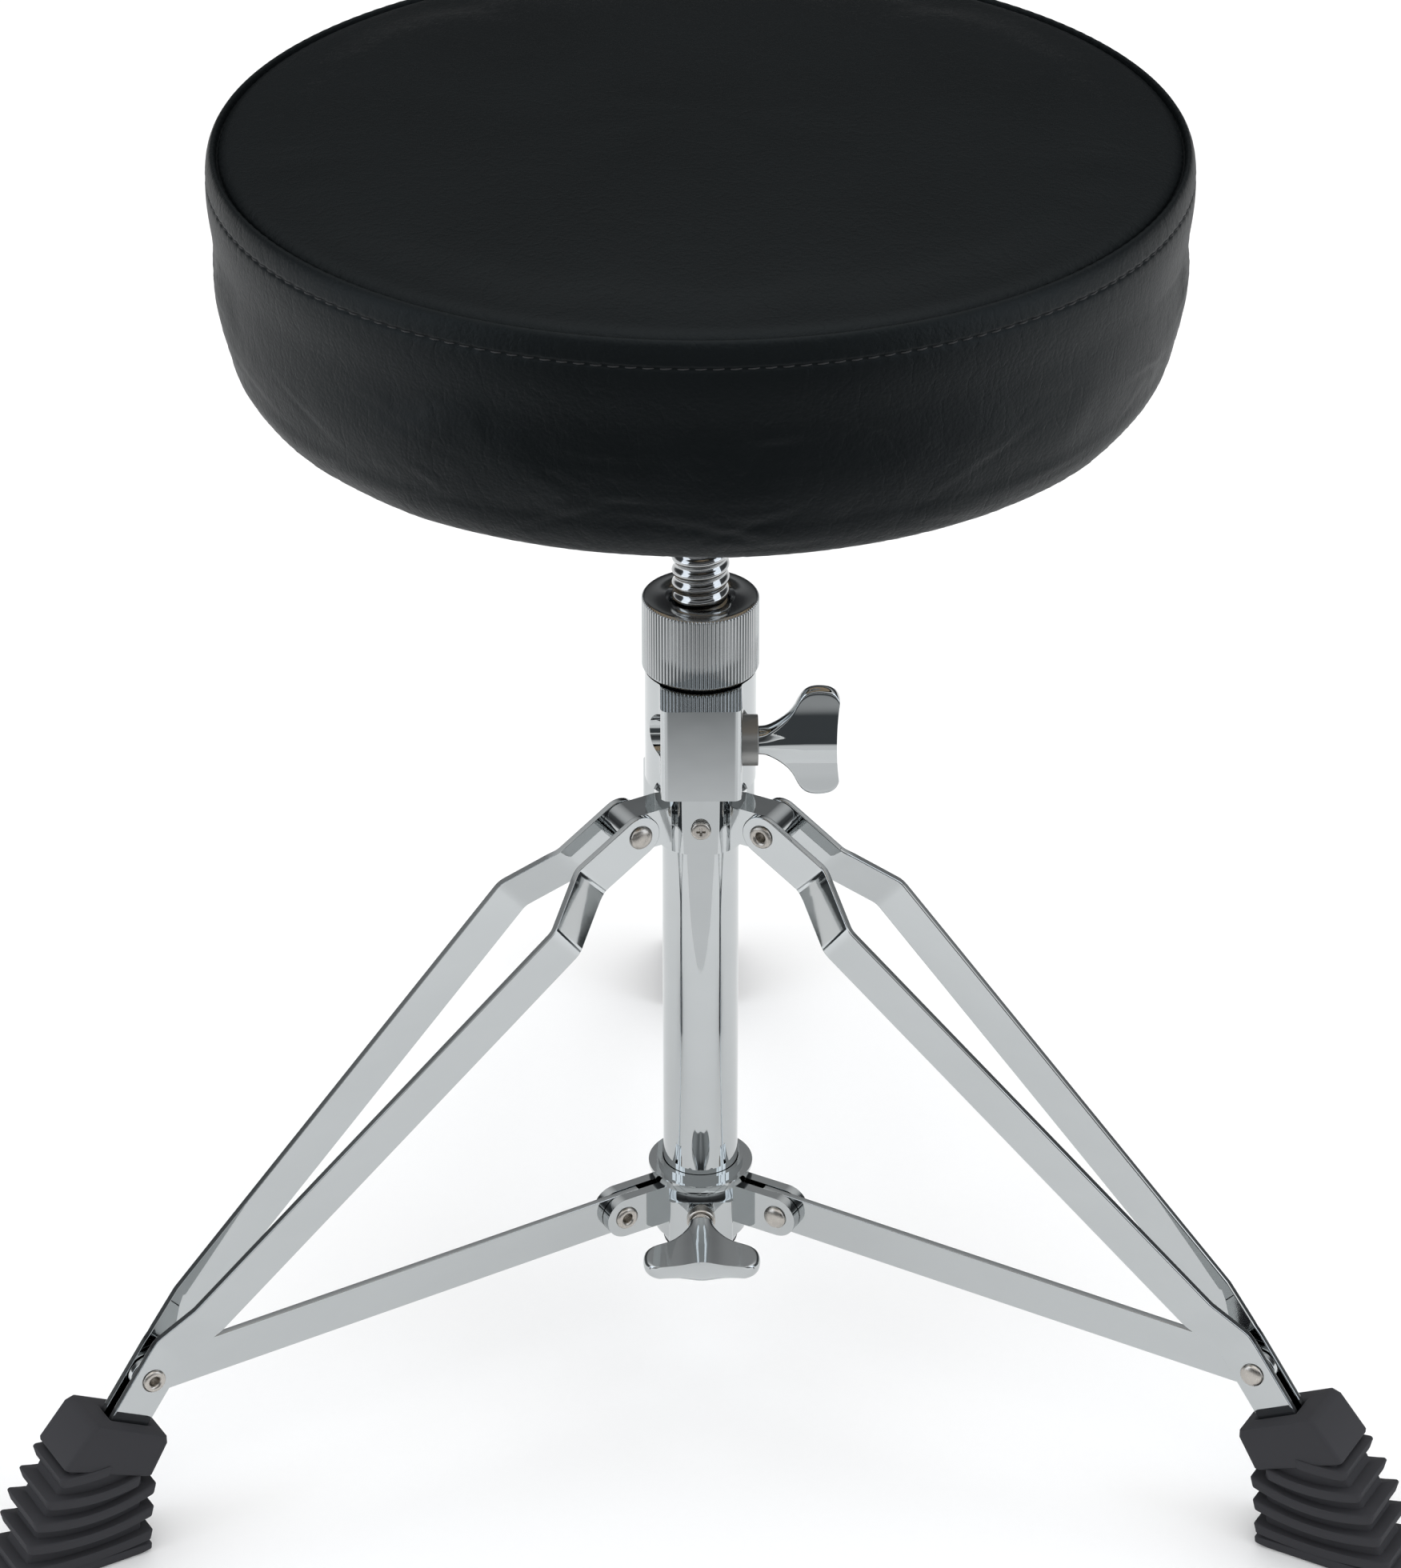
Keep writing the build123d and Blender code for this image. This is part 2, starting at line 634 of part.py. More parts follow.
# ---- sliding collar -----------------------------------------------------------------------------
ear_root = bush_outer + ear_root_gap - ear_overlap
with BuildPart() as sliding_collar:
    with BuildSketch(Plane.XZ):
        with BuildLine():
            Polyline(
                (0, collar_bottom_z),
                (bush_outer + collar_wall, collar_bottom_z),
                (bush_outer + collar_wall, collar_top_z - flange_height - flange_flare),
                (flange_radius, collar_top_z - flange_lip),
                (flange_radius, collar_top_z),
                (mouth_radius, collar_top_z),
                (mouth_radius, collar_top_z + mouth_height),
                (0, collar_top_z + mouth_height),
                close=True,
            )
        make_face()
    revolve()
    with BuildSketch(Plane.XY.offset(collar_z + boss_above_pivot - boss_height)):
        with Locations((0, -boss_front / 2)):
            Rectangle(boss_width, boss_front)
    extrude(amount=boss_height)
    fillet(sliding_collar.edges().filter_by(Axis.Z).group_by(Axis.Y)[0], boss_corner)
    for azimuth in leg_azimuths:
        for side in (-1, 1):
            with BuildSketch(Plane.XZ.rotated((0, 0, azimuth)).offset(side * (ear_inner + ear_thickness / 2))):
                with BuildLine():
                    Polyline(
                        (ear_root, collar_z - ear_radius),
                        (collar_pivot_reach, collar_z - ear_radius),
                        (collar_pivot_reach, collar_z + ear_radius),
                        (ear_root, collar_z + ear_radius),
                        close=True,
                    )
                make_face()
                with Locations((collar_pivot_reach, collar_z)):
                    Circle(ear_radius)
                    Circle(rivet_radius, mode=Mode.SUBTRACT)
            extrude(amount=ear_thickness / 2, both=True)
    with BuildSketch(Plane.XY.offset(collar_bottom_z)):
        Circle(bush_outer)
    extrude(amount=collar_top_z - mouth_depth - collar_bottom_z, mode=Mode.SUBTRACT)
    with BuildSketch(Plane.XY.offset(collar_bottom_z)):
        Circle(tube_radius + mouth_clearance)
    extrude(amount=2 * (collar_top_z - collar_bottom_z), mode=Mode.SUBTRACT)
    with BuildSketch(Plane.XZ.offset(tube_radius)):
        with Locations((0, collar_z)):
            Circle(collar_screw_radius + shaft_fit)
    extrude(amount=boss_front, mode=Mode.SUBTRACT)
pieces["sliding_collar"] = sliding_collar.part

with BuildPart() as collar_bush:
    with BuildSketch(Plane.XY.offset(collar_bottom_z + bush_above_collar_foot)):
        Circle(bush_outer)
        Circle(tube_radius + shaft_fit, mode=Mode.SUBTRACT)
    extrude(amount=bush_height)
    with BuildSketch(Plane.XZ):
        with Locations((0, collar_z)):
            Circle(collar_screw_radius + bush_screw_clearance)
    extrude(amount=2 * bush_outer, mode=Mode.SUBTRACT)
pieces["collar_bush"] = collar_bush.part

with BuildPart() as collar_pad:
    with BuildSketch(Plane.XZ.offset(tube_radius + pad_clearance)):
        with Locations((0, collar_z)):
            Circle(pad_radius)
    extrude(amount=pad_thickness)
pieces["collar_pad"] = collar_pad.part

pieces["collar_wing_screw"] = wing_screw(
    (0, -neck_start, collar_z), (0, -1, 0), (1, 0, 0), neck_start - pad_back
)


# ---- rivets -------------------------------------------------------------------------------------
def rivet(pivot, half_grip, head_side, middle_gap=0.0):
    """A tubular rivet through a leg's middle plane, domed on one side and rolled over on the other."""
    centre = Plane((pivot[0], 0, pivot[1]), x_dir=(1, 0, 0), z_dir=(0, 0, head_side))
    top = half_grip + rivet_head_height
    bottom = -half_grip - rivet_roll_height
    dome_radius = (rivet_head_radius**2 + rivet_head_height**2) / (2 * rivet_head_height)
    with BuildPart() as body:
        with BuildSketch(centre):
            with BuildLine():
                Polyline(
                    (0, top),
                    (0, bottom + rivet_bore_depth),
                    (rivet_bore_radius, bottom + rivet_bore_depth),
                    (rivet_bore_radius, bottom),
                    (rivet_head_radius - rivet_roll_top, bottom),
                    (rivet_head_radius - rivet_roll_base, -half_grip),
                    (rivet_radius, -half_grip),
                    (rivet_radius, half_grip),
                    (rivet_head_radius, half_grip),
                )
                RadiusArc((rivet_head_radius, half_grip), (0, top), -dome_radius)
            make_face()
        revolve(axis=Axis((pivot[0], 0, pivot[1]), (0, 1, 0)))
        if middle_gap > 0:
            with BuildSketch(Plane.XZ):
                with Locations(pivot):
                    Circle(2 * rivet_head_radius)
            extrude(amount=middle_gap / 2, both=True, mode=Mode.SUBTRACT)
    return body.part


# ---- leg strips and stay ------------------------------------------------------------------------
def along(point):
    """How far a point of the XZ plane lies along the shin's direction from the leg's pivot."""
    slope = radians(shin_slope)
    return (point[0] - leg_pivot[0]) * cos(slope) + (leg_pivot[1] - point[1]) * sin(slope)


def leg_strip(side):
    """One of the two flat bars of a leg: side is +1 or -1 across the leg's middle plane."""
    slope = radians(shin_slope)
    half = strip_thickness / 2
    shin_start = Plane(
        (leg_pivot[0], 0, leg_pivot[1]), x_dir=(cos(slope), 0, -sin(slope)), z_dir=(sin(slope), 0, cos(slope))
    )
    toe_bend = along(ankle)
    path = [
        (-2 * strip_width, strip_outer_head - half),
        (spread_start, strip_outer_head - half),
        (spread_start + spread_length, spread_width - half),
        (toe_bend - joggle_before_toe, closing_width - half),
        (toe_bend, strip_outer_toe - half),
        (along(toe) + 3 * strip_width, strip_outer_toe - half),
    ]
    with BuildPart() as strip:
        with BuildSketch(Plane.XZ):
            with BuildLine() as spine:
                FilletPolyline(leg_pivot, knee, ankle, toe, radius=1.5 * strip_width)
            SlotArc(spine.wires()[0], strip_width)
        extrude(amount=2 * spread_width, both=True)
        with BuildSketch(shin_start):
            with BuildLine() as edge_line:
                FilletPolyline(*[(u, side * s) for u, s in path], radius=strip_bend_radius)
            SlotArc(edge_line.wires()[0], strip_thickness)
        extrude(amount=4 * strip_width, both=True, mode=Mode.INTERSECT)
        with BuildSketch(Plane.XZ):
            with Locations(leg_pivot, lower_rivet):
                Circle(rivet_radius)
        extrude(amount=2 * spread_width, both=True, mode=Mode.SUBTRACT)
    return strip.part


def stay():
    """The flat bar from a collar ear to the lower rivet, square at the collar and round at the leg."""
    slope = radians(stay_slope)
    plane = Plane(
        (collar_pivot[0], 0, collar_pivot[1]), x_dir=(cos(slope), 0, -sin(slope)), z_dir=(0, -1, 0)
    )
    with BuildPart() as bar:
        with BuildSketch(plane):
            with Locations(((stay_length - stay_end) / 2, 0)):
                Rectangle(stay_length + stay_end, strip_width)
            with Locations((stay_length, 0)):
                Circle(strip_width / 2)
            with Locations((0, 0)):
                Circle(pivot_hole, mode=Mode.SUBTRACT)
            with Locations((stay_length, 0)):
                Circle(rivet_radius + stay_rivet_clearance, mode=Mode.SUBTRACT)
        extrude(amount=stay_thickness / 2, both=True)
    return bar.part


# ---- rubber foot --------------------------------------------------------------------------------
def foot():
    """A ribbed rubber boot on the end of a leg, with a flat sole on the floor."""
    slope = radians(toe_slope)
    cap_middle = run(lower_rivet, foot_cap_above, toe_slope)
    cap_tilt = radians(foot_cap_tilt)

    def on_cap(distance, below=0.0):
        """A point across the cap's top, outwards from its middle, and a distance down the toe."""
        point = (cap_middle[0] + distance * cos(cap_tilt), cap_middle[1] + distance * sin(cap_tilt))
        return run(point, below, toe_slope)

    outer_top = on_cap(cap_outer_reach)
    inner_top = on_cap(-cap_inner_reach)
    outer_low = on_cap(cap_outer_reach, cap_outer_height)
    inner_low = on_cap(-cap_low_reach, cap_inner_height)
    floor_inner = inner_top[0] + heel_reach
    floor_outer = outer_top[0] + toe_reach
    ledge = (outer_low[0] + cap_ledge, outer_low[1] - cap_ledge_drop)
    tip = (floor_outer + tip_reach, tip_height)
    with BuildPart() as boot:
        with BuildSketch(Plane.XZ):
            with BuildLine():
                Polyline(
                    inner_top,
                    outer_top,
                    outer_low,
                    ledge,
                    tip,
                    (floor_outer, 0),
                    (floor_inner + heel_bevel, 0),
                    (floor_inner, heel_height),
                    inner_low,
                    close=True,
                )
            make_face()
        extrude(amount=foot_width / 2, both=True)
        rib_pitch = (ledge[1] - heel_height) / rib_count
        for rib in range(rib_count):
            groove_z = heel_height + (rib + 0.5) * rib_pitch
            share = (ledge[1] - groove_z) / (ledge[1] - tip[1])
            with BuildSketch(Plane.XZ):
                with Locations((ledge[0] + share * (tip[0] - ledge[0]), groove_z)):
                    Rectangle(2 * rib_depth, rib_gap)
            extrude(amount=foot_width, both=True, mode=Mode.SUBTRACT)
        pocket = Plane((cap_middle[0], 0, cap_middle[1]), x_dir=(0, 1, 0), z_dir=(cos(slope), 0, -sin(slope)))
        with BuildSketch(pocket.offset(-strip_width)):
            Rectangle(2 * (strip_outer_toe + foot_pocket_clearance), strip_width + 2 * foot_pocket_clearance)
        below_cap = toe_length - stay_pivot_along_toe - foot_cap_above
        pocket_depth = below_cap + strip_width / 2 + foot_pocket_end_gap
        extrude(amount=strip_width + pocket_depth, mode=Mode.SUBTRACT)
        # A narrow notch in the cap's outer wall gives the stay's open end room while the legs fold.
        with BuildSketch(pocket.offset(-strip_width)):
            with Locations((0, strip_width)):
                Rectangle(foot_notch_width, 3 * strip_width)
        extrude(amount=strip_width + foot_notch_depth, mode=Mode.SUBTRACT)
    return boot.part


foot_names = ("rear", "left", "right")
for leg_name, azimuth in zip(foot_names, leg_azimuths):
    pieces[f"leg_strip_{leg_name}_a"] = at_azimuth(leg_strip(1), azimuth)
    pieces[f"leg_strip_{leg_name}_b"] = at_azimuth(leg_strip(-1), azimuth)
    pieces[f"upper_rivet_{leg_name}"] = at_azimuth(rivet(leg_pivot, strip_outer_head, 1), azimuth)
    pieces[f"lower_rivet_{leg_name}"] = at_azimuth(
        rivet(lower_rivet, strip_outer_toe, -1, stay_thickness + 2 * stay_side_gap), azimuth
    )
    pieces[f"collar_rivet_{leg_name}"] = at_azimuth(rivet(collar_pivot, ear_outer, -1), azimuth)
    pieces[f"stay_{leg_name}"] = at_azimuth(stay(), azimuth)
    pieces[f"foot_{leg_name}"] = at_azimuth(foot(), azimuth)

# ---- placing and writing ------------------------------------------------------------------------
box = Compound(list(pieces.values())).bounding_box()
shift = Vector(-(box.min.X + box.max.X) / 2, -(box.min.Y + box.max.Y) / 2, -box.min.Z)
if __name__ == "__main__":
    os.makedirs("parts", exist_ok=True)
    for node, piece in pieces.items():
        placed = piece.moved(Location(shift))
        placed.label = node
        export_step(placed, f"parts/{node}.step")
    print("origin moved by", shift, "box", box.size)
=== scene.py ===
"""Drum throne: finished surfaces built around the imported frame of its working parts."""

import json
import logging
import math
import random
from dataclasses import dataclass, field
from enum import Enum
from typing import Any, Callable, Iterable, Sequence

import bmesh
import bpy
import numpy as np
from mathutils import Matrix, Vector, kdtree


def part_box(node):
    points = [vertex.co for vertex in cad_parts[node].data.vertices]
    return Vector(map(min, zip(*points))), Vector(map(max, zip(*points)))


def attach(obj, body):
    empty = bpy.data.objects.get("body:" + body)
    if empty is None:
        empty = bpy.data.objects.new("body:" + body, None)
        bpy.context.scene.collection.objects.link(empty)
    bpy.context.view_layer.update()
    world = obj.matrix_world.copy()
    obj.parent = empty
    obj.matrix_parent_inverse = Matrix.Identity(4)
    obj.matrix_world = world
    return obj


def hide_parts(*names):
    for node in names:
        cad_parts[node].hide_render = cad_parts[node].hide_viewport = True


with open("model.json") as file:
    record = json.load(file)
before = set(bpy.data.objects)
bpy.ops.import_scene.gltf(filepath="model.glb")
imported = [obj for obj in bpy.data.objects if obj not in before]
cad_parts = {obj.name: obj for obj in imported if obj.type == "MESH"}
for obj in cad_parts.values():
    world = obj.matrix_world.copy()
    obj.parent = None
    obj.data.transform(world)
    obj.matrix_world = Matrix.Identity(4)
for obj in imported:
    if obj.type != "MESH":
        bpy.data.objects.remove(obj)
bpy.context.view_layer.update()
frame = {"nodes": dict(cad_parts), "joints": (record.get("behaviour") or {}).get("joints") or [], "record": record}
MM = 0.001
LOG = logging.getLogger("throne")

Point = tuple[float, float]
Colour = tuple[float, float, float]


# ---- shader building -------------------------------------------------------------------------


class Value:
    """A shader socket that carries a number, so that shader maths reads as it is written."""

    def __init__(self, graph: "Graph", socket: bpy.types.NodeSocket) -> None:
        """Keep the graph that owns the socket, and the socket."""
        self.graph = graph
        self.socket = socket

    def maths(self, operation: str, *values: Any) -> "Value":
        """Add one Math node.

        Args:
            operation: The Math node's operation.
            values: Its operands in order, as Values or numbers.

        Returns:
            The node's result.
        """
        inputs = {slot: value for slot, value in enumerate(values)}
        return Value(self.graph, self.graph.add("ShaderNodeMath", {"operation": operation}, inputs).outputs[0])

    def __add__(self, other: Any) -> "Value":
        """Return self + other."""
        return self.maths("ADD", self, other)

    __radd__ = __add__

    def __sub__(self, other: Any) -> "Value":
        """Return self - other."""
        return self.maths("SUBTRACT", self, other)

    def __rsub__(self, other: Any) -> "Value":
        """Return other - self."""
        return self.maths("SUBTRACT", other, self)

    def __mul__(self, other: Any) -> "Value":
        """Return self * other."""
        return self.maths("MULTIPLY", self, other)

    __rmul__ = __mul__

    def __pow__(self, exponent: float) -> "Value":
        """Return self raised to an exponent."""
        return self.maths("POWER", self, exponent)

    def __abs__(self) -> "Value":
        """Return the size of self without its sign."""
        return self.maths("ABSOLUTE", self)

    def at_least(self, floor: float) -> "Value":
        """Return the larger of self and a floor."""
        return self.maths("MAXIMUM", self, floor)

    def folded(self, span: float) -> "Value":
        """Return self folded back and forth between 0 and a span."""
        return self.maths("PINGPONG", self, span)


class Graph:
    """A material's or a world's nodes, with one way to add each of them."""

    def __init__(self, tree: bpy.types.NodeTree) -> None:
        """Start from an empty tree."""
        self.tree = tree
        tree.nodes.clear()

    def add(
        self, kind: str, settings: dict[str, Any] | None = None, inputs: dict[Any, Any] | None = None
    ) -> bpy.types.Node:
        """Add one node, set it up and connect it.

        Args:
            kind: The node's type name.
            settings: Its properties, or "stops" for a ramp's list of (place, colour).
            inputs: Values or links for its sockets, by name or number.

        Returns:
            The new node.
        """
        node = self.tree.nodes.new(kind)
        for name, setting in (settings or {}).items():
            if name == "stops":
                ramp = node.color_ramp
                while len(ramp.elements) < len(setting):
                    ramp.elements.new(0.5)
                for element, (place, colour) in zip(ramp.elements, setting):
                    element.position = place
                    element.color = (*colour, 1.0)
            else:
                setattr(node, name, setting)
        for name, value in (inputs or {}).items():
            socket = node.inputs[name]
            if isinstance(value, Value):
                self.tree.links.new(value.socket, socket)
            elif isinstance(value, bpy.types.NodeSocket):
                self.tree.links.new(value, socket)
            elif isinstance(value, tuple) and len(value) == 3 and socket.type == "RGBA":
                socket.default_value = (*value, 1.0)
            else:
                socket.default_value = value
        return node

    def place(self, stretch: Sequence[float] = (1.0, 1.0, 1.0)) -> bpy.types.NodeSocket:
        """The surface point in the piece's own frame, stretched along each axis."""
        coordinates = self.add("ShaderNodeTexCoord").outputs["Object"]
        return self.add("ShaderNodeMapping", None, {"Vector": coordinates, "Scale": tuple(stretch)}).outputs[0]

    def height(self) -> Value:
        """The surface point's height in metres."""
        coordinates = self.add("ShaderNodeTexCoord").outputs["Object"]
        return Value(self, self.add("ShaderNodeSeparateXYZ", None, {0: coordinates}).outputs["Z"])

    def noise(self, scale: float, detail: float = 3.0, stretch: Sequence[float] = (1.0, 1.0, 1.0)) -> Value:
        """Soft noise from 0 to 1.

        Args:
            scale: Features per metre.
            detail: Octaves of finer noise.
            stretch: Scale along each axis.

        Returns:
            The noise.
        """
        inputs = {"Vector": self.place(stretch), "Scale": scale, "Detail": detail}
        return Value(self, self.add("ShaderNodeTexNoise", None, inputs).outputs[0])

    def cells(self, scale: float, feature: str = "SMOOTH_F1") -> Value:
        """Distance to the middle of the nearest pebble of a cell pattern."""
        inputs = {"Vector": self.place(), "Scale": scale}
        return Value(self, self.add("ShaderNodeTexVoronoi", {"feature": feature}, inputs).outputs["Distance"])

    def blend(self, share: Value, low: Colour, high: Colour) -> bpy.types.NodeSocket:
        """A colour between two, by a share from 0 to 1."""
        settings = {"data_type": "RGBA", "blend_type": "MIX"}
        node = self.add("ShaderNodeMix", settings, {"Factor": share})
        node.inputs[6].default_value = (*low, 1.0)
        node.inputs[7].default_value = (*high, 1.0)
        return node.outputs[2]

    def bump(self, relief: Value, distance: float, strength: float = 1.0) -> bpy.types.NodeSocket:
        """A normal bent by a relief whose full height is a distance in metres."""
        inputs = {"Height": relief, "Distance": distance, "Strength": strength}
        return self.add("ShaderNodeBump", None, inputs).outputs[0]

    def surface(self, inputs: dict[str, Any]) -> None:
        """End the graph in a Principled surface with these inputs."""
        shader = self.add("ShaderNodeBsdfPrincipled", None, inputs)
        self.add("ShaderNodeOutputMaterial", None, {"Surface": shader.outputs[0]})


@dataclass(frozen=True)
class Finish:
    """What every finish has: a name, the record's material slot, and a way to make its material."""

    name: str
    slot: str

    def draw(self, graph: Graph) -> None:
        """Draw the finish's nodes; each kind of finish does it its own way."""
        raise NotImplementedError

    def material(self) -> bpy.types.Material:
        """The finish's material, made the first time it is asked for."""
        made = bpy.data.materials.get(self.name)
        if made is None:
            made = bpy.data.materials.new(self.name)
            made.use_nodes = True
            self.draw(Graph(made.node_tree))
        return made


@dataclass(frozen=True)
class ChromePlate(Finish):
    """Bright plate on polished steel, with faint wipe marks and a slight ripple."""

    tint: Colour = (0.50, 0.52, 0.525)
    roughness: float = 0.035
    smear: float = 0.07
    ripple: float = 0.00002

    def draw(self, graph: Graph) -> None:
        """Draw the plate."""
        wipe = graph.noise(22.0, 4.0, (1.0, 1.0, 3.0))
        haze = graph.noise(150.0, 2.0)
        dull = tuple(channel * 0.93 for channel in self.tint)
        graph.surface(
            {
                "Base Color": graph.blend(wipe, dull, self.tint),
                "Metallic": 1.0,
                "Roughness": self.roughness + self.smear * wipe**3.0 * haze,
                "Normal": graph.bump(graph.noise(70.0, 1.0), self.ripple),
            }
        )


@dataclass(frozen=True)
class NickelPlate(Finish):
    """Warm nickel plate with fine tool marks and darker stains."""

    tint: Colour = (0.55, 0.52, 0.48)
    roughness: float = 0.2

    def draw(self, graph: Graph) -> None:
        """Draw the plate."""
        marks = graph.noise(900.0, 3.0, (1.0, 1.0, 0.25))
        stain = graph.noise(160.0, 3.0)
        dull = tuple(channel * 0.68 for channel in self.tint)
        graph.surface(
            {
                "Base Color": graph.blend(stain, dull, self.tint),
                "Metallic": 1.0,
                "Roughness": self.roughness + 0.18 * marks,
                "Normal": graph.bump(marks, 0.00003),
            }
        )


@dataclass(frozen=True)
class RawSteel(Finish):
    """Unplated steel with saw marks, oil stain and a mottled dark skin."""

    light: Colour = (0.29, 0.31, 0.315)
    dark: Colour = (0.085, 0.09, 0.095)

    def draw(self, graph: Graph) -> None:
        """Draw the steel."""
        mottle = graph.noise(260.0, 5.0)
        saw = graph.noise(700.0, 2.0, (4.0, 0.3, 0.3))
        graph.surface(
            {
                "Base Color": graph.blend(mottle**1.6, self.dark, self.light),
                "Metallic": 0.9,
                "Roughness": 0.34 + 0.3 * mottle,
                "Normal": graph.bump(0.6 * saw + 0.4 * mottle, 0.00012),
            }
        )


@dataclass(frozen=True)
class MouldedRubber(Finish):
    """Black rubber with a fine mould skin, small pits and bloom patches."""

    dark: Colour = (0.0014, 0.0016, 0.0018)
    bloom: Colour = (0.0055, 0.006, 0.0066)

    def draw(self, graph: Graph) -> None:
        """Draw the rubber."""
        patch = graph.noise(55.0, 5.0)
        skin = graph.noise(1500.0, 2.0)
        pits = graph.cells(700.0)
        graph.surface(
            {
                "Base Color": graph.blend(patch**2.0, self.dark, self.bloom),
                "Roughness": 0.36 + 0.20 * patch,
                "Specular IOR Level": 0.07,
                "Normal": graph.bump(0.7 * skin + 0.5 * pits, 0.00010),
            }
        )


@dataclass(frozen=True)
class MouldedPlastic(Finish):
    """Black moulded plastic with faint flow lines."""

    dark: Colour = (0.010, 0.010, 0.011)
    light: Colour = (0.020, 0.020, 0.022)

    def draw(self, graph: Graph) -> None:
        """Draw the plastic."""
        flow = graph.noise(90.0, 4.0, (1.0, 1.0, 0.3))
        graph.surface(
            {
                "Base Color": graph.blend(flow, self.dark, self.light),
                "Roughness": 0.32 + 0.16 * flow,
                "Normal": graph.bump(graph.noise(1100.0, 1.0), 0.00004),
            }
        )


@dataclass(frozen=True)
class LeatherCloth(Finish):
    """Black vinyl leathercloth: pebble grain, hair-fine creases and a satin that varies."""

    dark: Colour = (0.0016, 0.0024, 0.0027)
    worn: Colour = (0.0040, 0.0056, 0.0066)
    roughness: float = 0.36
    gloss: float = 0.15
    crease: float = 1.0
    # Bluish tint of the leathercloth's reflections: painted colour of the studio's bluish light.
    sheen: Colour = (0.86, 0.96, 1.0)

    def draw(self, graph: Graph) -> None:
        """Draw the leathercloth."""
        pebble = graph.cells(820.0)
        fine = graph.noise(2400.0, 2.0)
        hair = (1.0 - abs(2.0 * graph.noise(95.0, 6.0, (1.0, 1.0, 0.55)) - 1.0)) ** 18.0
        cloud = graph.noise(16.0, 4.0)
        relief = 0.55 * pebble + 0.30 * fine - 0.35 * self.crease * hair
        graph.surface(
            {
                "Base Color": graph.blend(cloud * fine, self.dark, self.worn),
                "Roughness": self.roughness + 0.16 * cloud + 0.06 * pebble,
                "Specular IOR Level": self.gloss,
                # Painted bluish tint on the reflections.
                "Specular Tint": self.sheen,
                "Normal": graph.bump(relief, 0.00022, 0.85),
            }
        )


@dataclass(frozen=True)
class SewingThread(Finish):
    """Twisted black polyester thread."""

    def draw(self, graph: Graph) -> None:
        """Draw the thread."""
        twist = graph.noise(4200.0, 1.0, (1.0, 1.0, 2.0))
        graph.surface(
            {
                "Base Color": graph.blend(twist, (0.006, 0.0065, 0.007), (0.024, 0.025, 0.027)),
                "Roughness": 0.55 + 0.2 * twist,
                "Normal": graph.bump(twist, 0.00012),
            }
        )


@dataclass(frozen=True)
class Plywood(Finish):
    """Bare plywood: face grain above and below, crossed plies on the edge."""

    ply: float = 0.0024

    def draw(self, graph: Graph) -> None:
        """Draw the plywood."""
        grain = graph.noise(60.0, 6.0, (9.0, 0.6, 1.0))
        pores = graph.noise(900.0, 2.0, (6.0, 0.25, 1.0))
        level = graph.height() * (1.0 / self.ply)
        layer = level.folded(1.0)
        tone = 0.55 * grain + 0.25 * pores + 0.2 * layer
        graph.surface(
            {
                "Base Color": graph.blend(tone, (0.20, 0.145, 0.09), (0.48, 0.37, 0.25)),
                "Roughness": 0.62 + 0.2 * pores,
                "Normal": graph.bump(grain * 0.4 + pores * 0.6, 0.00015),
            }
        )


@dataclass(frozen=True)
class PaintedReflectionCard(Finish):
    """Painted reflection of the front of the set as mirrors see it: a glowing card of white paper that fades into a
    dark room.
    """

    start: float = 0.44
    end: float = 0.66
    # The painted reflection's two colours: a dark room and white paper.
    room: Colour = (0.07, 0.077, 0.083)
    paper: Colour = (0.93, 0.94, 0.95)

    def draw(self, graph: Graph) -> None:
        """Draw the painted reflection's fade along the floor."""
        coordinates = graph.add("ShaderNodeTexCoord").outputs["Object"]
        parts = graph.add("ShaderNodeSeparateXYZ", None, {0: coordinates})
        out, side = Value(graph, parts.outputs["Y"]), Value(graph, parts.outputs["X"])
        reach = -1.0 * out + COLUMN.y - 0.10 * side**2.0
        limits = {"From Min": self.start, "From Max": self.end, "Value": reach}
        fade = Value(graph, graph.add("ShaderNodeMapRange", {"interpolation_type": "SMOOTHSTEP"}, limits).outputs[0])
        graph.surface(
            {
                "Base Color": (0.0, 0.0, 0.0),
                "Roughness": 1.0,
                "Specular IOR Level": 0.0,
                # The card glows with the painted reflection, though it is no lamp.
                "Emission Color": graph.blend(fade, self.paper, self.room),
                "Emission Strength": 1.0,
            }
        )


@dataclass(frozen=True)
class StudioPaper(Finish):
    """Matte pale paper for the floor."""

    shade: float = 0.93

    def draw(self, graph: Graph) -> None:
        """Draw the paper."""
        tooth = graph.noise(300.0, 2.0)
        low = self.shade - 0.01
        graph.surface(
            {
                "Base Color": graph.blend(tooth, (low, low, low), (self.shade, self.shade, self.shade)),
                "Roughness": 0.9,
                "Specular IOR Level": 0.0,
            }
        )


CHROME = ChromePlate("chrome_plate", "chrome")
KNURL_CHROME = ChromePlate("satin_chrome_plate", "satin_chrome", (0.46, 0.475, 0.48), 0.10, 0.10)
THREAD_CHROME = ChromePlate("threaded_plate", "threaded_steel", (0.44, 0.45, 0.455), 0.09, 0.16)
NICKEL = NickelPlate("nickel_plate", "nickel")
STEEL = RawSteel("raw_steel", "raw_steel")
RUBBER = MouldedRubber("foot_rubber", "foot_rubber")
PLASTIC = MouldedPlastic("black_plastic", "black_plastic")
SIDE_VINYL = LeatherCloth("side_leathercloth", "seat_vinyl")
# Painted shade: the top panel gets a darker, less glossy and rougher copy of the side's leathercloth, for the darker
# look the top has under the studio's light.
SHADED_TOP_VINYL = LeatherCloth(
    "shaded_top_leathercloth", "seat_vinyl", (0.0012, 0.0019, 0.0019), (0.0032, 0.0045, 0.0044), 0.56, 0.05, 0.5
)
THREAD = SewingThread("sewing_thread", "seat_vinyl")
PLY = Plywood("bare_plywood", "plywood")
PAPER = StudioPaper("studio_paper", "floor")
REFLECTION_CARD = PaintedReflectionCard("painted_reflection_card", "floor")


# ---- mesh building -----------------------------------------------------------------------------


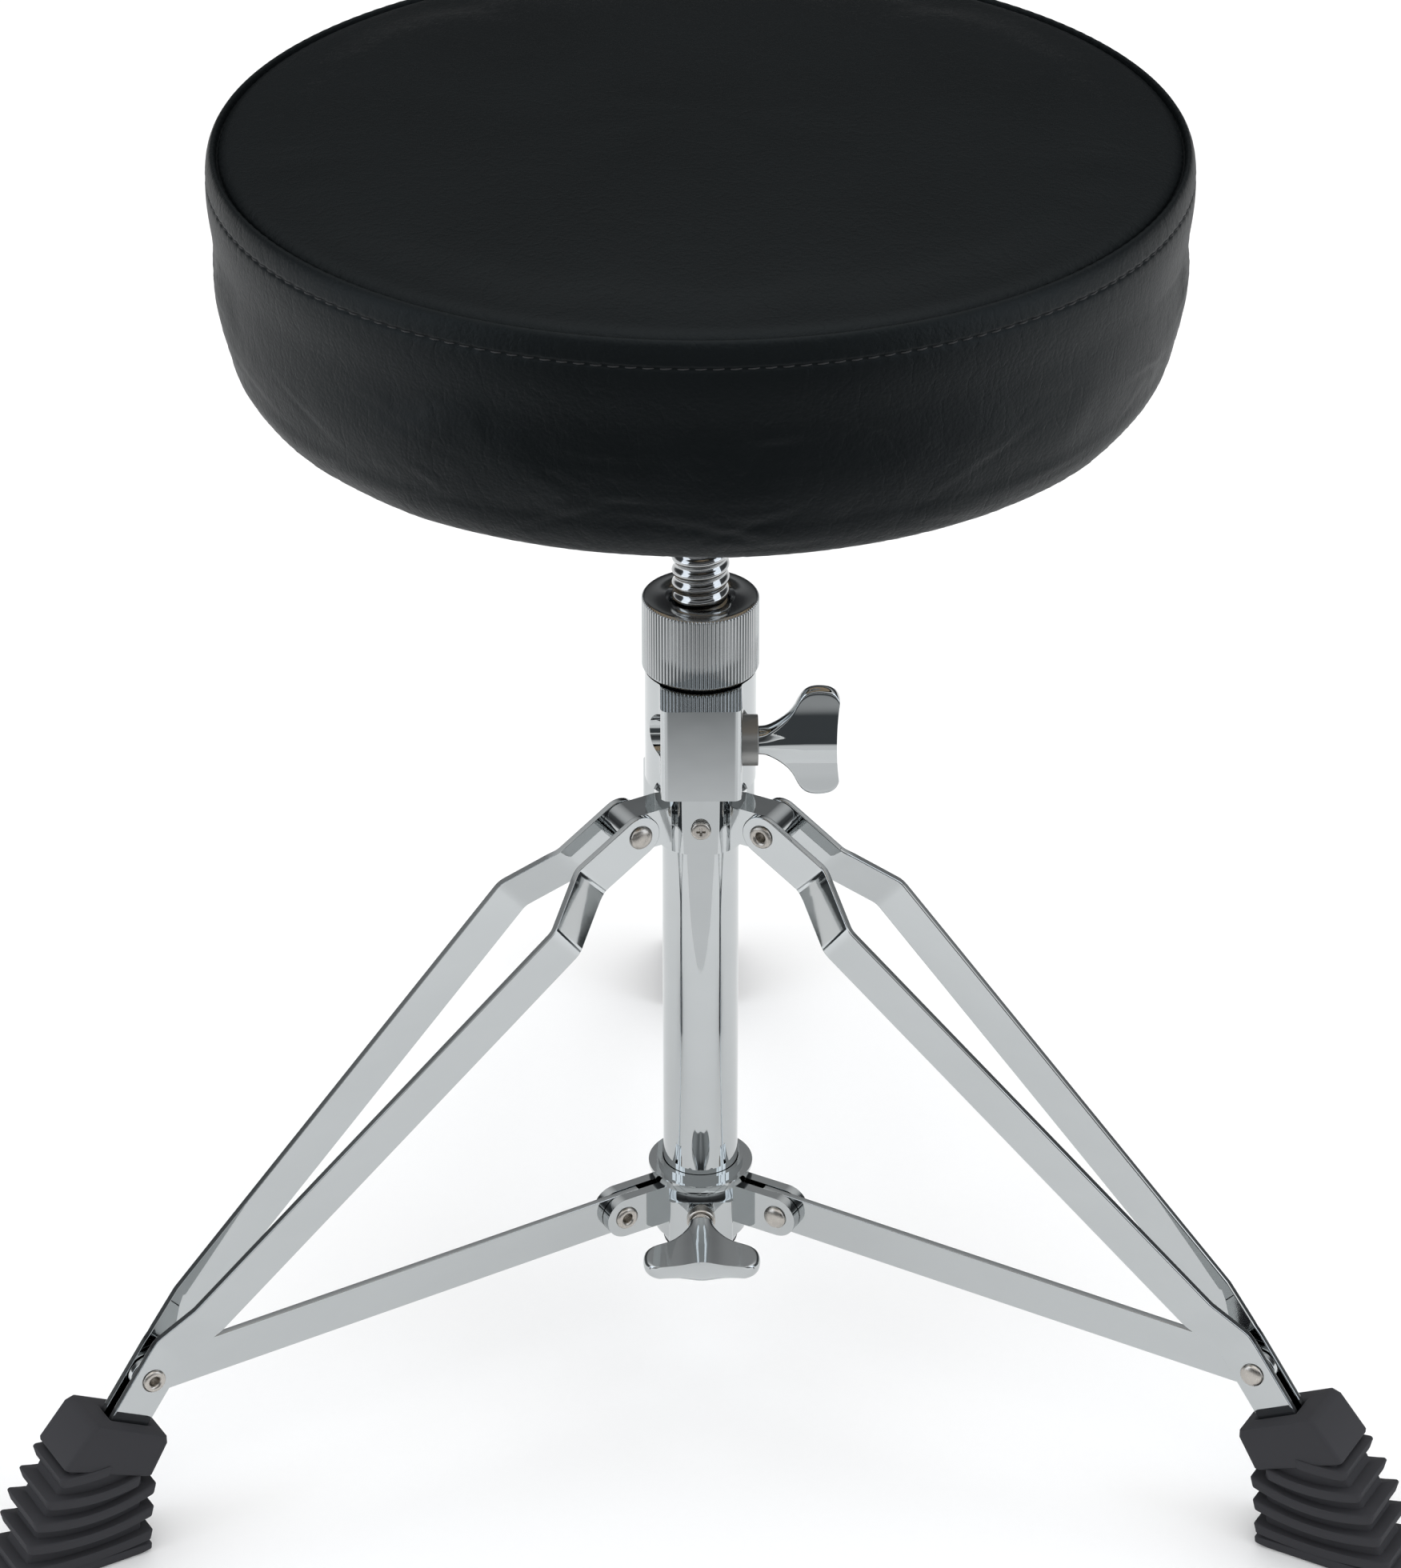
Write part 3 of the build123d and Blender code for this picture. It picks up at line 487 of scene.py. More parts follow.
@dataclass
class Shape:
    """Points in metres and the faces between them, with a finish number for each face."""

    points: list[Vector] = field(default_factory=list)
    faces: list[tuple[int, ...]] = field(default_factory=list)
    marks: list[int] = field(default_factory=list)

    def grid(self, rows: Sequence[Sequence[Vector]], close: bool = True, mark: int | Sequence[int] = 0) -> None:
        """Add a sheet of quads through rows of points.

        Args:
            rows: Rows with the same number of points each.
            close: Whether each row closes into a ring.
            mark: The finish number, or one for each strip between two rows.
        """
        first = len(self.points)
        width = len(rows[0])
        for row in rows:
            self.points.extend(row)
        for strip in range(len(rows) - 1):
            number = mark if isinstance(mark, int) else mark[strip]
            for column in range(width if close else width - 1):
                after = (column + 1) % width
                low = first + strip * width
                high = low + width
                self.faces.append((low + column, low + after, high + after, high + column))
                self.marks.append(number)

    def cap(self, ring_start: int, width: int, centre: Vector, flip: bool, mark: int = 0) -> None:
        """Close a ring of points with a fan to a centre point."""
        self.points.append(centre)
        middle = len(self.points) - 1
        for column in range(width):
            a, b = ring_start + column, ring_start + (column + 1) % width
            self.faces.append((b, a, middle) if flip else (a, b, middle))
            self.marks.append(mark)

    def tube(self, rows: Sequence[Sequence[Vector]], mark: int = 0) -> None:
        """Add a closed skin: rings of points, with both ends fanned shut."""
        first = len(self.points)
        width = len(rows[0])
        self.grid(rows, True, mark)
        last = first + (len(rows) - 1) * width
        self.cap(first, width, sum(rows[0], Vector()) / width, True, mark)
        self.cap(last, width, sum(rows[-1], Vector()) / width, False, mark)

    def build(self, name: str, body: str, finishes: Sequence[Finish]) -> bpy.types.Object:
        """Make the object, dress it and put it on its body.

        Args:
            name: The object's name.
            body: The moving body that it rides on.
            finishes: Its finishes, in the order of the face marks.

        Returns:
            The object.
        """
        mesh = bpy.data.meshes.new(name)
        mesh.from_pydata([tuple(point) for point in self.points], [], self.faces)
        mesh.polygons.foreach_set("material_index", self.marks)
        skin = bmesh.new()
        skin.from_mesh(mesh)
        bmesh.ops.remove_doubles(skin, verts=skin.verts, dist=1e-7)
        bmesh.ops.dissolve_degenerate(skin, edges=skin.edges, dist=1e-7)
        bmesh.ops.recalc_face_normals(skin, faces=skin.faces)
        skin.to_mesh(mesh)
        skin.free()
        piece = bpy.data.objects.new(name, mesh)
        bpy.context.scene.collection.objects.link(piece)
        dress(piece, body, finishes)
        return piece


def dress(piece: bpy.types.Object, body: str, finishes: Sequence[Finish]) -> None:
    """Give a piece its finishes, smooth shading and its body."""
    piece.data.materials.clear()
    for finish in finishes:
        piece.data.materials.append(finish.material())
    piece.data.shade_smooth()
    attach(piece, body)
    LOG.info("%s: %d faces on %s", piece.name, len(piece.data.polygons), body)


def soften(piece: bpy.types.Object, degrees: float = 35.0) -> None:
    """Shade edges steeper than an angle as sharp."""
    skin = bmesh.new()
    skin.from_mesh(piece.data)
    for edge in skin.edges:
        edge.smooth = len(edge.link_faces) < 2 or edge.calc_face_angle(0.0) < math.radians(degrees)
    skin.to_mesh(piece.data)
    skin.free()


def body_of(node: str) -> str:
    """The moving body that a node belongs to."""
    return next(name for name, nodes in frame["record"]["behaviour"]["bodies"].items() if node in nodes)


def machined(node: str, finish: Finish, edge: float = 0.4, segments: int = 2) -> bpy.types.Object:
    """Stand in for a node with the same shape and its edges broken.

    Args:
        node: The node.
        finish: Its finish.
        edge: How wide the broken edges are, in millimetres.
        segments: How many steps round each edge.

    Returns:
        The new piece.
    """
    source = frame["nodes"][node].data
    mesh = bpy.data.meshes.new(f"{node}_finished")
    mesh.from_pydata([v.co[:] for v in source.vertices], [], [p.vertices[:] for p in source.polygons])
    skin = bmesh.new()
    skin.from_mesh(mesh)
    bmesh.ops.remove_doubles(skin, verts=skin.verts, dist=2e-6)
    bmesh.ops.dissolve_limit(skin, angle_limit=math.radians(0.4), verts=skin.verts, edges=skin.edges)
    skin.to_mesh(mesh)
    skin.free()
    piece = bpy.data.objects.new(f"{node}_finished", mesh)
    bpy.context.scene.collection.objects.link(piece)
    dress(piece, body_of(node), [finish])
    bevel = piece.modifiers.new("broken_edges", "BEVEL")
    bevel.width = edge * MM
    bevel.segments = segments
    bevel.limit_method = "ANGLE"
    bevel.angle_limit = math.radians(38.0)
    bevel.miter_outer = "MITER_ARC"
    weighted = piece.modifiers.new("even_shading", "WEIGHTED_NORMAL")
    weighted.weight = 60
    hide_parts(node)
    return piece


def keep(node: str, finish: Finish) -> None:
    """Leave a node's own shape showing and dress it."""
    piece = frame["nodes"][node]
    piece.data.materials.clear()
    piece.data.materials.append(finish.material())


def joint(name: str) -> dict[str, Any]:
    """A joint of the frame, by name."""
    return next(entry for entry in frame["joints"] if entry["name"] == name)


COLUMN = Vector(joint("seat_swivel")["pos_m"])


def ring(radius: float, height: float, count: int, centre: Vector = COLUMN) -> list[Vector]:
    """A level ring of points about the column.

    Args:
        radius: Its radius in millimetres.
        height: Its height above the floor in metres.
        count: How many points.
        centre: A point of the column's axis.

    Returns:
        The points, anticlockwise from +X.
    """
    turn = 2 * math.pi / count
    return [
        Vector((centre.x + radius * MM * math.cos(i * turn), centre.y + radius * MM * math.sin(i * turn), height))
        for i in range(count)
    ]


@dataclass
class Bench:
    """A workbench frame: a point and three directions, in which a small part is drawn in millimetres."""

    origin: Vector
    along: Vector
    across: Vector

    def point(self, u: float, v: float, w: float) -> Vector:
        """A point u along, v across and w up, in millimetres from the origin."""
        up = self.along.cross(self.across)
        return self.origin + (self.along * u + self.across * v + up * w) * MM

    def turned(self, profile: Sequence[Point], count: int = 48) -> list[list[Vector]]:
        """Rings of a profile turned about the along direction.

        Args:
            profile: (distance along, radius) pairs.
            count: Points in each ring.

        Returns:
            One ring for each profile point.
        """
        turn = 2 * math.pi / count
        return [
            [self.point(u, radius * math.cos(i * turn), radius * math.sin(i * turn)) for i in range(count)]
            for u, radius in profile
        ]

    def threaded(self, start: float, end: float, crest: float, depth: float, pitch: float) -> list[list[Vector]]:
        """Rings of a right-hand thread from start to end along the axis.

        Args:
            start: Where the thread starts, along the axis.
            end: Where it ends.
            crest: Radius over the thread.
            depth: How deep the groove is.
            pitch: Rise per turn.

        Returns:
            The rings.
        """
        count = 40
        steps = max(2, int((end - start) / pitch * 12))
        rows = []
        for step in range(steps + 1):
            u = start + (end - start) * step / steps
            fade = min(1.0, (u - start) / pitch + 0.15, (end - u) / pitch + 0.15)
            row = []
            for i in range(count):
                angle = 2 * math.pi * i / count
                phase = (u / pitch - i / count) % 1.0
                groove = 0.5 + 0.5 * math.cos(2 * math.pi * phase)
                radius = crest - depth + depth * fade * groove**0.75
                row.append(self.point(u, radius * math.cos(angle), radius * math.sin(angle)))
            rows.append(row)
        return rows


# ---- seat ----------------------------------------------------------------------------------------


class Panel(Enum):
    """The cushion's panels, in the order of its finishes."""

    SIDE = 0
    TOP = 1


@dataclass
class Cushion:
    """The stuffed round cushion: top panel, boxed side, seams, stitches, gathers and staples."""

    body: str = "seat"
    columns: int = 720
    seam_radius: float = 166.3
    belly_radius: float = 170.6
    low_radius: float = 166.6
    crown: float = 7.6
    stitch_drop: float = 9.2
    stitch_pitch: float = 5.6
    board_radius: float = 150.1
    hem_radius: float = 116.5
    swell_limit: float = 1.5
    staple_count: int = 60

    def __post_init__(self) -> None:
        """Take the cushion's heights from the frame."""
        low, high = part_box("seat_cover")
        board_low, board_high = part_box("seat_board")
        self.bottom = low.z / MM
        self.top = high.z / MM
        self.board_low = board_low.z / MM
        self.board_high = board_high.z / MM
        self.seam_height = self.top - 9.0
        self.stitch_height = self.seam_height - self.stitch_drop
        self.stitch_count = round(2 * math.pi * self.belly_radius / self.stitch_pitch)

    def profile(self) -> list[tuple[float, float, Panel]]:
        """The section from the middle of the top down to the hem and back under the board.

        Returns:
            (radius, height, panel) in millimetres.
        """
        seam, height = self.seam_radius, self.seam_height
        points: list[tuple[float, float, Panel]] = []
        for step in range(44):
            share = (step / 43) ** 0.72
            radius = 0.6 + (seam - 1.6) * share
            rise = self.crown * (1 - share**2.2)
            roll = 1.3 * max(0.0, (share - 0.972) / 0.028) ** 2
            points.append((radius, height + rise + 0.3 - roll, Panel.TOP))
        points += [(seam - 0.55, height - 2.0, Panel.TOP), (seam - 0.1, height - 3.3, Panel.SIDE)]
        shoulder = (
            (0.35, -2.2), (0.7, -0.8), (1.15, -0.15), (1.75, -0.05), (2.4, -0.5), (3.0, -1.4), (3.5, -2.7),
            (3.85, -4.2), (4.05, -5.8), (4.15, -7.3),
        )
        points += [(seam + out, height + up, Panel.SIDE) for out, up in shoulder]
        for step in range(15):
            points.append((seam + 4.2, self.stitch_height + 1.4 - 0.2 * step, Panel.SIDE))
        belly, low = self.belly_radius, self.low_radius
        start = self.stitch_height - 1.9
        end = self.bottom + 17.0
        for step in range(40):
            share = step / 39
            bulge = 0.9 * math.sin(math.pi * share)
            points.append((belly + (low - belly) * share**1.4 + bulge, start + (end - start) * share, Panel.SIDE))
        for step in range(1, 19):
            angle = math.radians(90.0 * step / 18)
            points.append((low - 17.0 * (1 - math.cos(angle)), end - 16.6 * math.sin(angle), Panel.SIDE))
        for step in range(1, 14):
            points.append((low - 17.0 - (low - 17.0 - self.hem_radius) * step / 13, self.bottom + 0.35, Panel.SIDE))
        points += [
            (self.hem_radius, self.board_low - 0.05, Panel.SIDE),
            (self.board_radius, self.board_low - 0.05, Panel.SIDE),
            (self.board_radius, self.board_high + 1.6, Panel.SIDE),
            (60.0, self.board_high + 1.6, Panel.SIDE),
            (0.6, self.board_high + 1.6, Panel.SIDE),
        ]
        return points

    def rows(self, profile: Sequence[tuple[float, float, Panel]], count: int) -> list[list[Vector]]:
        """The section turned into rings of points."""
        return [ring(radius, height * MM, count) for radius, height, _ in profile]

    def swelling(self) -> Callable[[np.ndarray], np.ndarray]:
        """Blow the closed cushion up as cloth and learn how far each place moves.

        Returns:
            A function from points to their movements, both in metres.
        """
        blank = Shape()
        blank.tube(self.rows(self.profile(), 96))
        soft = blank.build("cushion_blank", self.body, [SIDE_VINYL])
        remesh = soft.modifiers.new("even_mesh", "REMESH")
        remesh.mode = "VOXEL"
        remesh.voxel_size = 0.006
        graph = bpy.context.evaluated_depsgraph_get()
        even = bpy.data.meshes.new_from_object(soft.evaluated_get(graph))
        soft.modifiers.clear()
        soft.data = even
        before = np.array([v.co for v in even.vertices])
        held = soft.vertex_groups.new(name="on_board")
        held.add([i for i, point in enumerate(before) if point[2] < (self.bottom + 5.0) * MM], 1.0, "REPLACE")
        cloth = soft.modifiers.new("stuffing", "CLOTH")
        settings = cloth.settings
        settings.quality = 5
        settings.mass = 0.35
        settings.use_pressure = True
        settings.uniform_pressure_force = 4.0
        settings.tension_stiffness = 12.0
        settings.compression_stiffness = 12.0
        settings.bending_stiffness = 0.6
        settings.vertex_group_mass = held.name
        settings.effector_weights.gravity = 0.0
        scene = bpy.context.scene
        for step in range(1, 21):
            scene.frame_set(step)
        graph = bpy.context.evaluated_depsgraph_get()
        swollen = soft.evaluated_get(graph).to_mesh()
        moved = np.array([v.co for v in swollen.vertices]) - before
        soft.evaluated_get(graph).to_mesh_clear()
        scene.frame_set(1)
        size = np.linalg.norm(moved, axis=1, keepdims=True)
        moved = moved * np.minimum(1.0, self.swell_limit * MM / np.maximum(size, 1e-9))
        bpy.data.objects.remove(soft)
        tree = kdtree.KDTree(len(before))
        for index, point in enumerate(before):
            tree.insert(Vector(point), index)
        tree.balance()

        def movement(points: np.ndarray) -> np.ndarray:
            """Average the movements of the nearest places."""
            result = np.zeros_like(points)
            for index, point in enumerate(points):
                near = tree.find_n(Vector(point), 8)
                weights = np.array([1.0 / (distance + 0.002) for _, _, distance in near])
                result[index] = weights @ moved[[place for _, place, _ in near]] / weights.sum()
            return result

        return movement

    def freedom(self, points: np.ndarray) -> np.ndarray:
        """How freely the stuffing moves each place: not at all at the sewn seams, fully away from them.

        Args:
            points: Places on the cushion, in metres.

        Returns:
            A share from 0 to 1 for each, as a column.
        """
        radius = np.hypot(points[:, 0] - COLUMN.x, points[:, 1] - COLUMN.y) / MM
        height = points[:, 2] / MM
        side = (self.stitch_height - 3.5 - height) / 20.0
        top = (self.seam_radius - 7.0 - radius) / 24.0
        share = np.clip(np.where((radius < self.seam_radius) & (height > self.seam_height - 4.0), top, side), 0, 1)
        return (share * share * (3 - 2 * share))[:, None]

    def creases(self, angle: np.ndarray, height: np.ndarray) -> np.ndarray:
        """Shallow wrinkles in the boxed side, strongest near the board.

        Args:
            angle: Angles about the column, in radians.
            height: Heights in millimetres.

        Returns:
            How far each place stands in or out, in millimetres.
        """
        dice = random.Random(17)
        relief = np.zeros_like(angle)
        for _ in range(70):
            centre = dice.uniform(0, 2 * math.pi)
            level = self.bottom + dice.triangular(4.0, 70.0, 12.0)
            length = dice.uniform(6.0, 26.0)
            slant = dice.uniform(-0.5, 0.5)
            depth = dice.uniform(0.08, 0.34)
            across = (np.angle(np.exp(1j * (angle - centre)))) * self.belly_radius
            along = height - level
            offset = along - slant * across
            relief -= depth * np.exp(-((across / length) ** 2)) * np.exp(-((offset / 1.5) ** 2))
            relief += 0.6 * depth * np.exp(-((across / length) ** 2)) * np.exp(-(((offset - 2.6) / 2.2) ** 2))
        for wave, amount, turn in ((5, 0.45, 0.4), (9, 0.28, 2.1), (17, 0.14, 1.3)):
            relief += amount * np.sin(wave * angle + turn) * np.exp(-(((height - self.bottom - 14.0) / 24.0) ** 2))
        return relief

    def detail(self, points: np.ndarray) -> np.ndarray:
        """Add the stitched groove, the puckers, the wrinkles and the gathers under the board."""
        flat = points[:, :2] - np.array([COLUMN.x, COLUMN.y])
        radius = np.linalg.norm(flat, axis=1) / MM
        angle = np.arctan2(flat[:, 1], flat[:, 0])
        height = points[:, 2] / MM
        beat = 0.5 + 0.5 * np.cos(angle * self.stitch_count)
        near = height - self.stitch_height
        outside = radius > self.seam_radius + 2.0
        groove = -(0.42 + 0.36 * (1 - beat)) * np.exp(-((near / 0.85) ** 2))
        pucker = 0.16 * beat * np.exp(-((near / 3.2) ** 2))
        side = np.where(outside & (height > self.bottom + 1.5), groove + pucker, 0.0)
        side += np.where((height < self.stitch_height - 3) & (radius > 155), self.creases(angle, height), 0.0)
        crevice = np.abs(radius - self.seam_radius) < 2.2
        side += np.where(crevice & (height > self.seam_height - 4), 0.12 * np.sin(angle * self.stitch_count), 0.0)
        unit = flat / np.maximum(np.linalg.norm(flat, axis=1, keepdims=True), 1e-9)
        result = points.copy()
        result[:, :2] += unit * side[:, None] * MM
        under = (height < self.bottom + 1.0) & (radius > self.hem_radius + 1)
        fold = np.abs(np.sin(angle * 36 + 0.7 * np.sin(angle * 5))) ** 3
        share = np.clip((self.low_radius - 14.0 - radius) / 20.0, 0, 1)
        result[:, 2] -= np.where(under, 0.9 * fold * share, 0.0) * MM
        dent = np.sin(angle * 3 + 0.4) * 0.25 + np.sin(angle * 7 + 1.9) * 0.12
        result[:, 2] += np.where(height > self.seam_height, dent * np.sin(np.pi * radius / self.seam_radius), 0) * MM
        return result

    def cover(self) -> bpy.types.Object:
        """Build the cushion itself."""
        profile = self.profile()
        rows = self.rows(profile, self.columns)
        skin = Shape()
        marks = [panel.value for _, _, panel in profile[1:]]
        skin.grid(rows, True, marks)
        centre = Vector((COLUMN.x, COLUMN.y, profile[0][1] * MM))
        skin.cap(0, self.columns, centre, True, Panel.TOP.value)
        inner = Vector((COLUMN.x, COLUMN.y, profile[-1][1] * MM))
        skin.cap((len(rows) - 1) * self.columns, self.columns, inner, False, Panel.SIDE.value)
        points = np.array([tuple(point) for point in skin.points])
        shown = points[:, 2] > 0
        inside = (np.abs(points[:, 2] - (self.board_high + 1.6) * MM) < 1e-6) | (
            np.abs(points[:, 2] - (self.board_low - 0.05) * MM) < 1e-6
        )
        shown &= ~inside
        swell = self.swelling()
        points[shown] += swell(points[shown]) * self.freedom(points[shown])
        points[shown] = self.detail(points[shown])
        skin.points = [Vector(point) for point in points]
        # The top panel takes the darker copy of the leathercloth: painted shade.
        piece = skin.build("seat_cushion", self.body, [SIDE_VINYL, SHADED_TOP_VINYL])
        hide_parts("seat_cover", "seat_foam")
        return piece

    def stitches(self) -> bpy.types.Object:
        """Build the row of stitches along the boxed side's upper seam."""
        thread = Shape()
        for stitch in range(self.stitch_count):
            angle = 2 * math.pi * stitch / self.stitch_count
            outward = Vector((math.cos(angle), math.sin(angle), 0))
            origin = COLUMN.copy() + outward * (self.seam_radius + 3.9) * MM
            origin.z = self.stitch_height * MM
            bench = Bench(origin, Vector((-outward.y, outward.x, 0.06)).normalized(), outward)
            half = self.stitch_pitch * 0.36
            rows = bench.turned(((-half, 0.08), (-half * 0.8, 0.26), (0, 0.32), (half * 0.8, 0.26), (half, 0.08)), 8)
            for row, sink in zip(rows, (0.55, 0.22, 0.0, 0.22, 0.55)):
                for point in row:
                    point -= outward * sink * MM
            thread.tube(rows)
        return thread.build("seat_stitches", self.body, [THREAD])

    def staples(self) -> bpy.types.Object:
        """Build the staples that hold the cover's hem under the board."""
        dice = random.Random(5)
        wire = Shape()
        for staple in range(self.staple_count):
            angle = 2 * math.pi * (staple + dice.uniform(-0.2, 0.2)) / self.staple_count
            outward = Vector((math.cos(angle), math.sin(angle), 0))
            lean = dice.uniform(-0.35, 0.35)
            along = (Vector((-outward.y, outward.x, 0)) + outward * lean).normalized()
            bench = Bench(COLUMN.copy() + outward * (124.0 + dice.uniform(-1.5, 1.5)) * MM, along, Vector((0, 0, 1)))
            bench.origin.z = (self.bottom - 0.55) * MM
            path = ((-5.0, 1.5), (-5.0, 0.35), (-4.6, 0.0), (4.6, 0.0), (5.0, 0.35), (5.0, 1.5))
            rows = []
            for u, v in path:
                rows.append([bench.point(u, v + a, b) for a, b in ((-0.25, -0.4), (0.25, -0.4), (0.25, 0.4), (-0.25, 0.4))])
            wire.tube(rows)
        return wire.build("cover_staples", self.body, [STEEL])

    def build(self) -> None:
        """Build every part of the cushion."""
        self.cover()
        self.stitches()
        self.staples()


@dataclass
class SeatPlate:
    """The board and the welded hub that carries it."""

    edge: float = 0.5

    def build(self) -> None:
        """Dress the board, hub and screws."""
        keep("seat_board", PLY)
        keep("tee_nuts", NICKEL)
        machined("seat_hub", STEEL, self.edge)
        machined("seat_screws", NICKEL, 0.4)
        machined("retaining_screw", STEEL, 0.4)


# ---- column ----------------------------------------------------------------------------------------


@dataclass
class Spindle:
    """The threaded spindle, with its smooth journal under the seat."""

    crest: float = 10.5
    depth: float = 1.2
    pitch: float = 5.3
    shoulder: float = 3.0
    journal: float = 8.0

    def build(self) -> None:
        """Build the spindle with a true helical thread."""
        low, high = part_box("spindle")
        foot = Vector((COLUMN.x, COLUMN.y, low.z))
        bench = Bench(foot, Vector((0, 0, 1)), Vector((1, 0, 0)))
        length = (high.z - low.z) / MM
        shoulder = (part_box("seat_hub")[0].z - low.z) / MM - 0.5
        root = self.crest - self.depth
        end = shoulder - self.shoulder
        rows = bench.turned([(0.0, root - 1.0), (0.8, root - 0.1)], 40)
        rows += bench.threaded(1.2, end, self.crest, self.depth, self.pitch)
        tail = [
            (end + 0.4, root), (shoulder - 0.4, root), (shoulder, root - 0.4), (shoulder + 0.02, self.journal),
            (length - 1.2, self.journal), (length, self.journal - 1.0),
        ]
        rows += bench.turned(tail, 40)
        shape = Shape()
        shape.tube(rows)
        piece = shape.build("spindle_thread", "spindle", [THREAD_CHROME])
        soften(piece, 60.0)
        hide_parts("spindle")


@dataclass
class HeightNut:
    """The fluted height nut."""

    flutes: int = 92
    flute_depth: float = 0.5
    chamfer: float = 0.9
    bore: float = 10.8
    mouth: float = 12.6
    mouth_depth: float = 1.5

    def build(self) -> None:
        """Build the nut with its flutes, chamfers and countersunk mouth."""
        low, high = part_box("height_nut")
        outer = (high.x - low.x) / 2 / MM
        bottom, top = low.z / MM, high.z / MM
        samples = 10
        count = self.flutes * samples
        shape_of_flute = (0.0, 0.0, 0.03, 0.12, 0.45, 0.9, 1.0, 0.9, 0.45, 0.1)

        def outline(limit: float, height: float) -> list[Vector]:
            """A fluted ring, cut back to a limiting radius."""
            circle = ring(1.0, height * MM, count)
            result = []
            for index, point in enumerate(circle):
                depth = self.flute_depth * shape_of_flute[index % samples]
                radius = min(outer - depth, limit)
                result.append(
                    Vector((COLUMN.x + (point.x - COLUMN.x) * radius, COLUMN.y + (point.y - COLUMN.y) * radius, point.z))
                )
            return result

        rim = outer - self.chamfer
        levels = [
            (self.bore, bottom), (rim - 0.5, bottom), (rim, bottom + 0.05), (rim + 0.5, bottom + 0.5), (outer, bottom + 1.0),
            (outer + 1, bottom + 1.2), (outer + 1, top - 1.2), (outer, top - 0.8), (rim + 0.5, top - 0.35),
            (rim, top - 0.05), (rim - 0.5, top), (self.mouth + 0.2, top), (self.mouth, top - 0.1),
            (self.bore + 0.1, top - self.mouth_depth), (self.bore, top - self.mouth_depth - 0.2), (self.bore, bottom),
        ]
        shape = Shape()
        shape.grid([outline(limit, height) for limit, height in levels])
        piece = shape.build("height_nut_fluted", "height_nut", [KNURL_CHROME])
        soften(piece, 50.0)
        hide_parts("height_nut")


class Wings(Enum):
    """Which way a wing screw's wings stand when it is tight."""

    UPRIGHT = "upright"
    LEVEL = "level"


